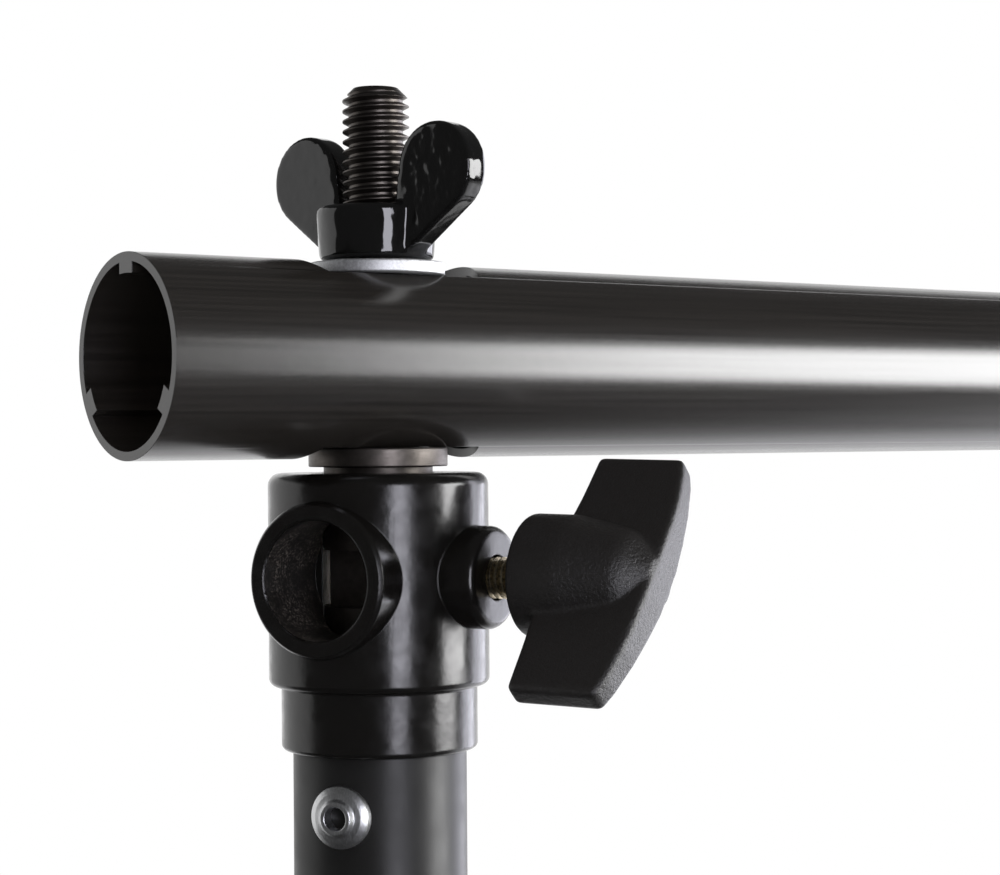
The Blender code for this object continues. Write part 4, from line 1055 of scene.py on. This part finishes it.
class BACKDROP_OT_hubs(bpy.types.Operator):
    """Model the foot hubs and the sliding leg collars, with their lugs and rivets"""

    bl_idname = "backdrop.hubs"
    bl_label = "Hubs and Leg Collars"

    def execute(self, context):
        sizes = context.scene.stand_sizes
        bore = sizes.base_tube_diameter / 2 + CLEARANCE
        outer = bore + COLLAR_WALL
        start = outer - 2.5 * MM
        foot, floor, top = -13 * MM, -10 * MM, 20 * MM
        hub = turned([
            (0, foot, 0), (outer, foot, 3 * MM), (outer, top, 1.5 * MM),
            (bore, top, 0.4 * MM), (bore, floor, 0), (0, floor, 0)])
        gap = sizes.brace_width / 2 + CLEARANCE
        lug_width = 3 * MM
        heads = []
        for azimuth in LEG_AZIMUTHS:
            for side in (1, -1):
                unite(hub, make_lug(azimuth, start, lug_width, side * (gap + lug_width / 2)))
                head = dome(2.5 * MM, 1 * MM, gap + lug_width)
                if side < 0:
                    place(head, spin(math.pi, "X"))
                heads.append(place(head, upright(azimuth, LEG_PIVOT_RADIUS)))
        hub = gather(hub, *heads)
        dress_stands(hub, on_stand(HUB_PIVOT_HEIGHT), "foot_hub_cast", "base_body", "foot_hub",
                     "gloss_black_paint")
        slider = ring(bore, outer, -12 * MM, 30 * MM, (0.4, 1.5, 1.5, 0.4))
        for azimuth in LEG_AZIMUTHS:
            unite(slider, make_lug(azimuth, start - 0.5 * MM, sizes.brace_width))
        add_collar_boss(slider, COLLAR_KNOB_AZIMUTH, COLLAR_KNOB_RISE, bore, outer)
        dress_stands(slider, on_stand(LEG_PIVOT_HEIGHT), "leg_collar_cast", "slider_body", "leg_collar",
                     "gloss_black_paint")
        return {"FINISHED"}


def channel(radius, length, width):
    """A channel with round ends along X, open towards -Y, its edges folded round."""
    wall = 1.5 * MM
    piece = stadium(radius, 0, length, width)
    cut(piece, block((-4 * radius, -2 * radius, wall - width / 2),
                     (length + 4 * radius, radius - wall, width / 2 - wall)))
    bevel(piece, 0.5 * MM, 2, 50 * DEG)
    return piece


def make_foot():
    """A rubber foot in its leg's frame: a sleeve with its sole cut to lie flat on the floor."""
    half = 9.5 * MM
    depth = 13.5 * MM
    # Along the leg in millimetres, and where the foot's under and upper side are there
    sections = [(486, -half, half), (527.5, -half, half), (531.5, -half, 8.59 * MM),
                (553.6, 3.3 * MM, 3.7 * MM)]
    foot = lofted([(x * MM, (low + high) / 2, (high - low) / 2, 0, depth) for x, low, high in sections])
    bevel(foot, 1.6 * MM, 3, 25 * DEG)
    cut(foot, block((470 * MM, -7.3 * MM, -11.3 * MM), (520.3 * MM, 7.3 * MM, 11.3 * MM)))
    return foot


class BACKDROP_OT_legs(bpy.types.Operator):
    """Fold the legs and braces from channel, rivet them and put on the rubber feet"""

    bl_idname = "backdrop.legs"
    bl_label = "Legs, Braces and Feet"

    def execute(self, context):
        sizes = context.scene.stand_sizes
        side = sizes.leg_width / 2
        knee_radius = LEG_PIVOT_RADIUS + BRACE_LENGTH * math.sin(LEG_ANGLE)
        knee_height = HUB_PIVOT_HEIGHT + BRACE_LENGTH * math.cos(LEG_ANGLE)
        for number, azimuth in enumerate(LEG_AZIMUTHS, 1):
            tilt = LEG_ANGLE - QUARTER_TURN
            leg_frame = STAND_A @ upright(azimuth, LEG_PIVOT_RADIUS, LEG_PIVOT_HEIGHT, tilt)
            brace_frame = STAND_A @ upright(azimuth, knee_radius, knee_height, -QUARTER_TURN - LEG_ANGLE)
            leg = channel(7 * MM, LEG_LENGTH, sizes.leg_width)
            rivets = []
            for along in (0, BRACE_LENGTH):
                for turn in (0, math.pi):
                    rivets.append(place(dome(3.4 * MM, 1.3 * MM, side), shift(along) @ spin(turn, "X")))
                    rivets.append(place(rod(2.5 * MM, -side, side, 24), shift(along)))
            leg = gather(leg, *rivets)
            dress_stands(leg, leg_frame, f"leg_{number}_folded", f"leg_body_{number}", f"leg_{number}",
                         "satin_paint")
            brace = channel(5 * MM, BRACE_LENGTH, sizes.brace_width)
            dress_stands(brace, brace_frame, f"brace_{number}_folded", f"brace_body_{number}",
                         f"brace_{number}", "satin_paint")
            dress_stands(make_foot(), leg_frame, f"foot_{number}_moulded", f"leg_body_{number}",
                         f"foot_{number}", "black_rubber")
        return {"FINISHED"}


# Crossbar


class BACKDROP_OT_crossbar(bpy.types.Operator):
    """Extrude the ribbed outer sections and mill their pockets, and draw the inner bar"""

    bl_idname = "backdrop.crossbar"
    bl_label = "Crossbar"

    def execute(self, context):
        sizes = context.scene.stand_sizes
        outer = sizes.bar_diameter / 2
        inner = outer - sizes.bar_wall
        deselect()
        bpy.ops.mesh.primitive_circle_add(vertices=180, radius=outer)
        bar = bpy.context.object
        with editing(bar, "EDGE"):
            bpy.ops.mesh.extrude_edges_move()
            bpy.ops.transform.resize(value=(inner / outer, inner / outer, 1), center_override=(0, 0, 0))
            for clock in BAR_RIB_CLOCK:
                self.extrude_rib(bar, clock, inner, (inner + outer) / 2)
            bpy.ops.mesh.select_all(action="SELECT")
            bpy.ops.mesh.extrude_region_move(TRANSFORM_OT_translate={"value": (0, 0, BAR_LENGTH)})
        turn_outwards(bar)
        place(bar, spin(QUARTER_TURN, "Z") @ spin(QUARTER_TURN, "X"))
        place(bar, shift(-BAR_OVERHANG, 0, BAR_AXIS))
        over = 60 * MM
        pocket = 15 * MM
        cut(bar, rod(pocket, 28.6 * MM, over, ROUND))
        cut(bar, rod(pocket, -over, 3.7 * MM, ROUND))
        cut(bar, rod(5.25 * MM, -over, over))
        dress_pair(bar, HEAD_A, "crossbar_{half}_anodised", "bar_{half}_body", "crossbar_{half}",
                   "black_anodised")
        core = ring(BAR_INNER_BORE, BAR_INNER_RADIUS, -BAR_INNER_HALF, BAR_INNER_HALF, (0, 0.3, 0.3, 0), 2)
        place(core, shift(z=HEAD_HEIGHT + BAR_AXIS) @ spin(QUARTER_TURN, "Y"))
        dress(core, "crossbar_inner_anodised", "bar_inner_body", "crossbar_inner", "black_anodised")
        return {"FINISHED"}

    def extrude_rib(self, bar, clock, inner, middle):
        """Extrude a rib inwards from the inner ring's edges at an angle round the bar's end."""
        along = Vector((math.cos(clock), math.sin(clock), 0))
        rib_width = 4.1 * MM
        rib_depth = 1.6  # millimetres
        half = math.asin(rib_width / 2 / inner) + DEG / 2

        def on_rib(edge):
            ends = [vertex.co for vertex in edge.verts]
            return all(end.length < middle and end.angle(along) < half for end in ends)

        pick(bar, "EDGE", on_rib)
        bpy.ops.mesh.extrude_edges_move(TRANSFORM_OT_translate={"value": along * -rib_depth * MM})


# Stage


# The camera stands level with the head, a foot away, and looks along this heading
CAMERA_HEADING = Vector((0.596, 0.803, 0)).normalized()
CAMERA_PLACE = Vector((-836.85, -281.8, 1228.0)) * MM
CAMERA_LENS = 82.8
CAMERA_SENSOR = 36
CAMERA_NEAR = 10 * MM
CAMERA_ROLL = -0.4 * DEG
LAMP_DISTANCE = 3.0
LAMP_POWER = 4  # watts to the square metre, for a radiance of one
# Soft boxes as they are seen from the head: degrees right of the camera, degrees up, width and height in
# degrees, radiance, tint, and whether the object's gloss shows them
LAMPS = (
    ("strip", 25, 0, 17, 34, 6.5, "f4f4ff", True),
    ("box_side", 87, 1, 28, 30, 9, "ffffff", True),
    ("box_rim", 132, 0, 32, 40, 3.8, "f4f4ff", True),
    ("box_left", -117, 0, 66, 50, 0.65, "ffffff", True),
    ("wall_behind", 180, 0, 60, 60, 0.9, "ffffff", True),
    ("ceiling", 0, 90, 110, 110, 0.9, "ffffff", False),
    ("fill", -8, 8, 22, 22, 3, "fff4ea", False),
)
ROOM_LIGHT = 0.07
FLOOR_RADIUS = 3.2
# Painted shade in the floor's reflections, from dark near the first stand to pale further out
FLOOR_GLOOM = (150, 1200)  # millimetres of X + Y over which the floor turns from dark to pale in the gloss
FLOOR_FADE = (1500, 2300)  # millimetres from the middle over which the floor gives way to the background


def hang_lamp(name, bearing, elevation, width, height, radiance, tint, glossy):
    turn = math.atan2(-CAMERA_HEADING.y, -CAMERA_HEADING.x) + bearing * DEG
    rise = elevation * DEG
    out = Vector((math.cos(turn) * math.cos(rise), math.sin(turn) * math.cos(rise), math.sin(rise)))
    data = bpy.data.lights.new(name, "AREA")
    data.shape = "RECTANGLE"
    data.size = 2 * LAMP_DISTANCE * math.tan(width * DEG / 2)
    data.size_y = 2 * LAMP_DISTANCE * math.tan(height * DEG / 2)
    data.energy = LAMP_POWER * data.size * data.size_y * radiance
    data.color = colour(tint)
    light = bpy.data.objects.new(name, data)
    bpy.context.scene.collection.objects.link(light)
    light.location = Vector((-STUD_X, 0, HEAD_HEIGHT)) + out * LAMP_DISTANCE
    light.rotation_mode = "QUATERNION"
    light.rotation_quaternion = out.to_track_quat("Z", "Y")
    light.visible_camera = False
    light.visible_glossy = glossy


class BACKDROP_OT_stage(bpy.types.Operator):
    """Lay the floor, hang the lamps and set up the camera"""

    bl_idname = "backdrop.stage"
    bl_label = "Stage"

    def execute(self, context):
        context.scene.view_settings.view_transform = "Standard"
        self.floor()
        for settings in LAMPS:
            hang_lamp(*settings)
        self.world(context.scene)
        self.camera(context.scene)
        return {"FINISHED"}

    def floor(self):
        deselect()
        bpy.ops.mesh.primitive_circle_add(vertices=96, radius=FLOOR_RADIUS, fill_type="NGON")
        floor = bpy.context.object
        floor.name = "studio_floor"
        material, tree, shader, mm = new_finish("matt_pale_floor")
        # Painted shade: what the object's gloss shows of the floor is dark under the first stand, pale
        # further along the bar
        along = add_node(tree, "ShaderNodeVectorMath", {0: mm, 1: (1, 1, 0)}, operation="DOT_PRODUCT")
        gloom = spread(tree, along.outputs["Value"], *FLOOR_GLOOM, 1, 0)
        in_gloss = product(tree, ray_kind(tree, "Glossy"), gloom)
        feed(tree, shader, {"Base Color": blend(tree, in_gloss, colour("f4f4f4"), colour("202020")),
                            "Roughness": 0.9})
        # Far out, where the lamps no longer reach, the camera sees the white background instead
        distance = add_node(tree, "ShaderNodeVectorMath", {0: mm}, operation="LENGTH")
        fade = spread(tree, distance.outputs["Value"], *FLOOR_FADE, 0, 1)
        mixed = add_node(tree, "ShaderNodeMixShader", {
            0: product(tree, ray_kind(tree, "Camera"), fade), 1: shader.outputs["BSDF"],
            2: add_node(tree, "ShaderNodeBsdfTransparent").outputs["BSDF"]})
        feed(tree, tree.nodes["Material Output"], {"Surface": mixed.outputs["Shader"]})
        floor.data.materials.append(material)

    def world(self, scene):
        """White behind the object, and a dim room round it for everything but the camera."""
        world = bpy.data.worlds.new("studio")
        scene.world = world
        world.use_nodes = True
        tree = world.node_tree
        feed(tree, tree.nodes["Background"], {
            "Color": (1, 1, 1, 1), "Strength": spread(tree, ray_kind(tree, "Camera"), 0, 1, ROOM_LIGHT, 1)})

    def camera(self, scene):
        data = bpy.data.cameras.new("camera")
        data.lens = CAMERA_LENS
        data.sensor_width = CAMERA_SENSOR
        data.clip_start = CAMERA_NEAR
        camera = bpy.data.objects.new("camera", data)
        scene.collection.objects.link(camera)
        camera.location = CAMERA_PLACE
        turn = CAMERA_HEADING.to_track_quat("-Z", "Y").to_matrix().to_4x4() @ spin(CAMERA_ROLL, "Z")
        camera.rotation_mode = "QUATERNION"
        camera.rotation_quaternion = turn.to_quaternion()
        scene.camera = camera


class BACKDROP_PT_panel(bpy.types.Panel):
    """Lists the steps that model the stand, with its sizes and colours"""

    bl_idname = "BACKDROP_PT_panel"
    bl_label = "Backdrop Stand"
    bl_space_type = "VIEW_3D"
    bl_region_type = "UI"
    bl_category = "Backdrop Stand"

    def draw(self, context):
        layout = self.layout
        for operator in STEPS:
            layout.operator(operator.bl_idname)
        for group in (context.scene.stand_sizes, context.scene.stand_colours):
            box = layout.box()
            for name in group.__annotations__:
                box.prop(group, name)


STEPS = (
    BACKDROP_OT_stage,
    BACKDROP_OT_spigots,
    BACKDROP_OT_washers,
    BACKDROP_OT_wing_nuts,
    BACKDROP_OT_castings,
    BACKDROP_OT_knobs,
    BACKDROP_OT_tubes,
    BACKDROP_OT_collars,
    BACKDROP_OT_hubs,
    BACKDROP_OT_legs,
    BACKDROP_OT_crossbar,
)
CLASSES = (StandSizes, StandColours, *STEPS, BACKDROP_PT_panel)


def register():
    for each in CLASSES:
        bpy.utils.register_class(each)
    bpy.types.Scene.stand_sizes = PointerProperty(type=StandSizes)
    bpy.types.Scene.stand_colours = PointerProperty(type=StandColours)


def unregister():
    del bpy.types.Scene.stand_colours
    del bpy.types.Scene.stand_sizes
    for each in reversed(CLASSES):
        bpy.utils.unregister_class(each)


def main():
    register()
    bpy.ops.backdrop.stage()
    bpy.ops.backdrop.spigots()
    bpy.ops.backdrop.washers()
    bpy.ops.backdrop.wing_nuts()
    bpy.ops.backdrop.castings()
    bpy.ops.backdrop.knobs()
    bpy.ops.backdrop.tubes()
    bpy.ops.backdrop.collars()
    bpy.ops.backdrop.hubs()
    bpy.ops.backdrop.legs()
    bpy.ops.backdrop.crossbar()


if __name__ == "__main__":
    main()
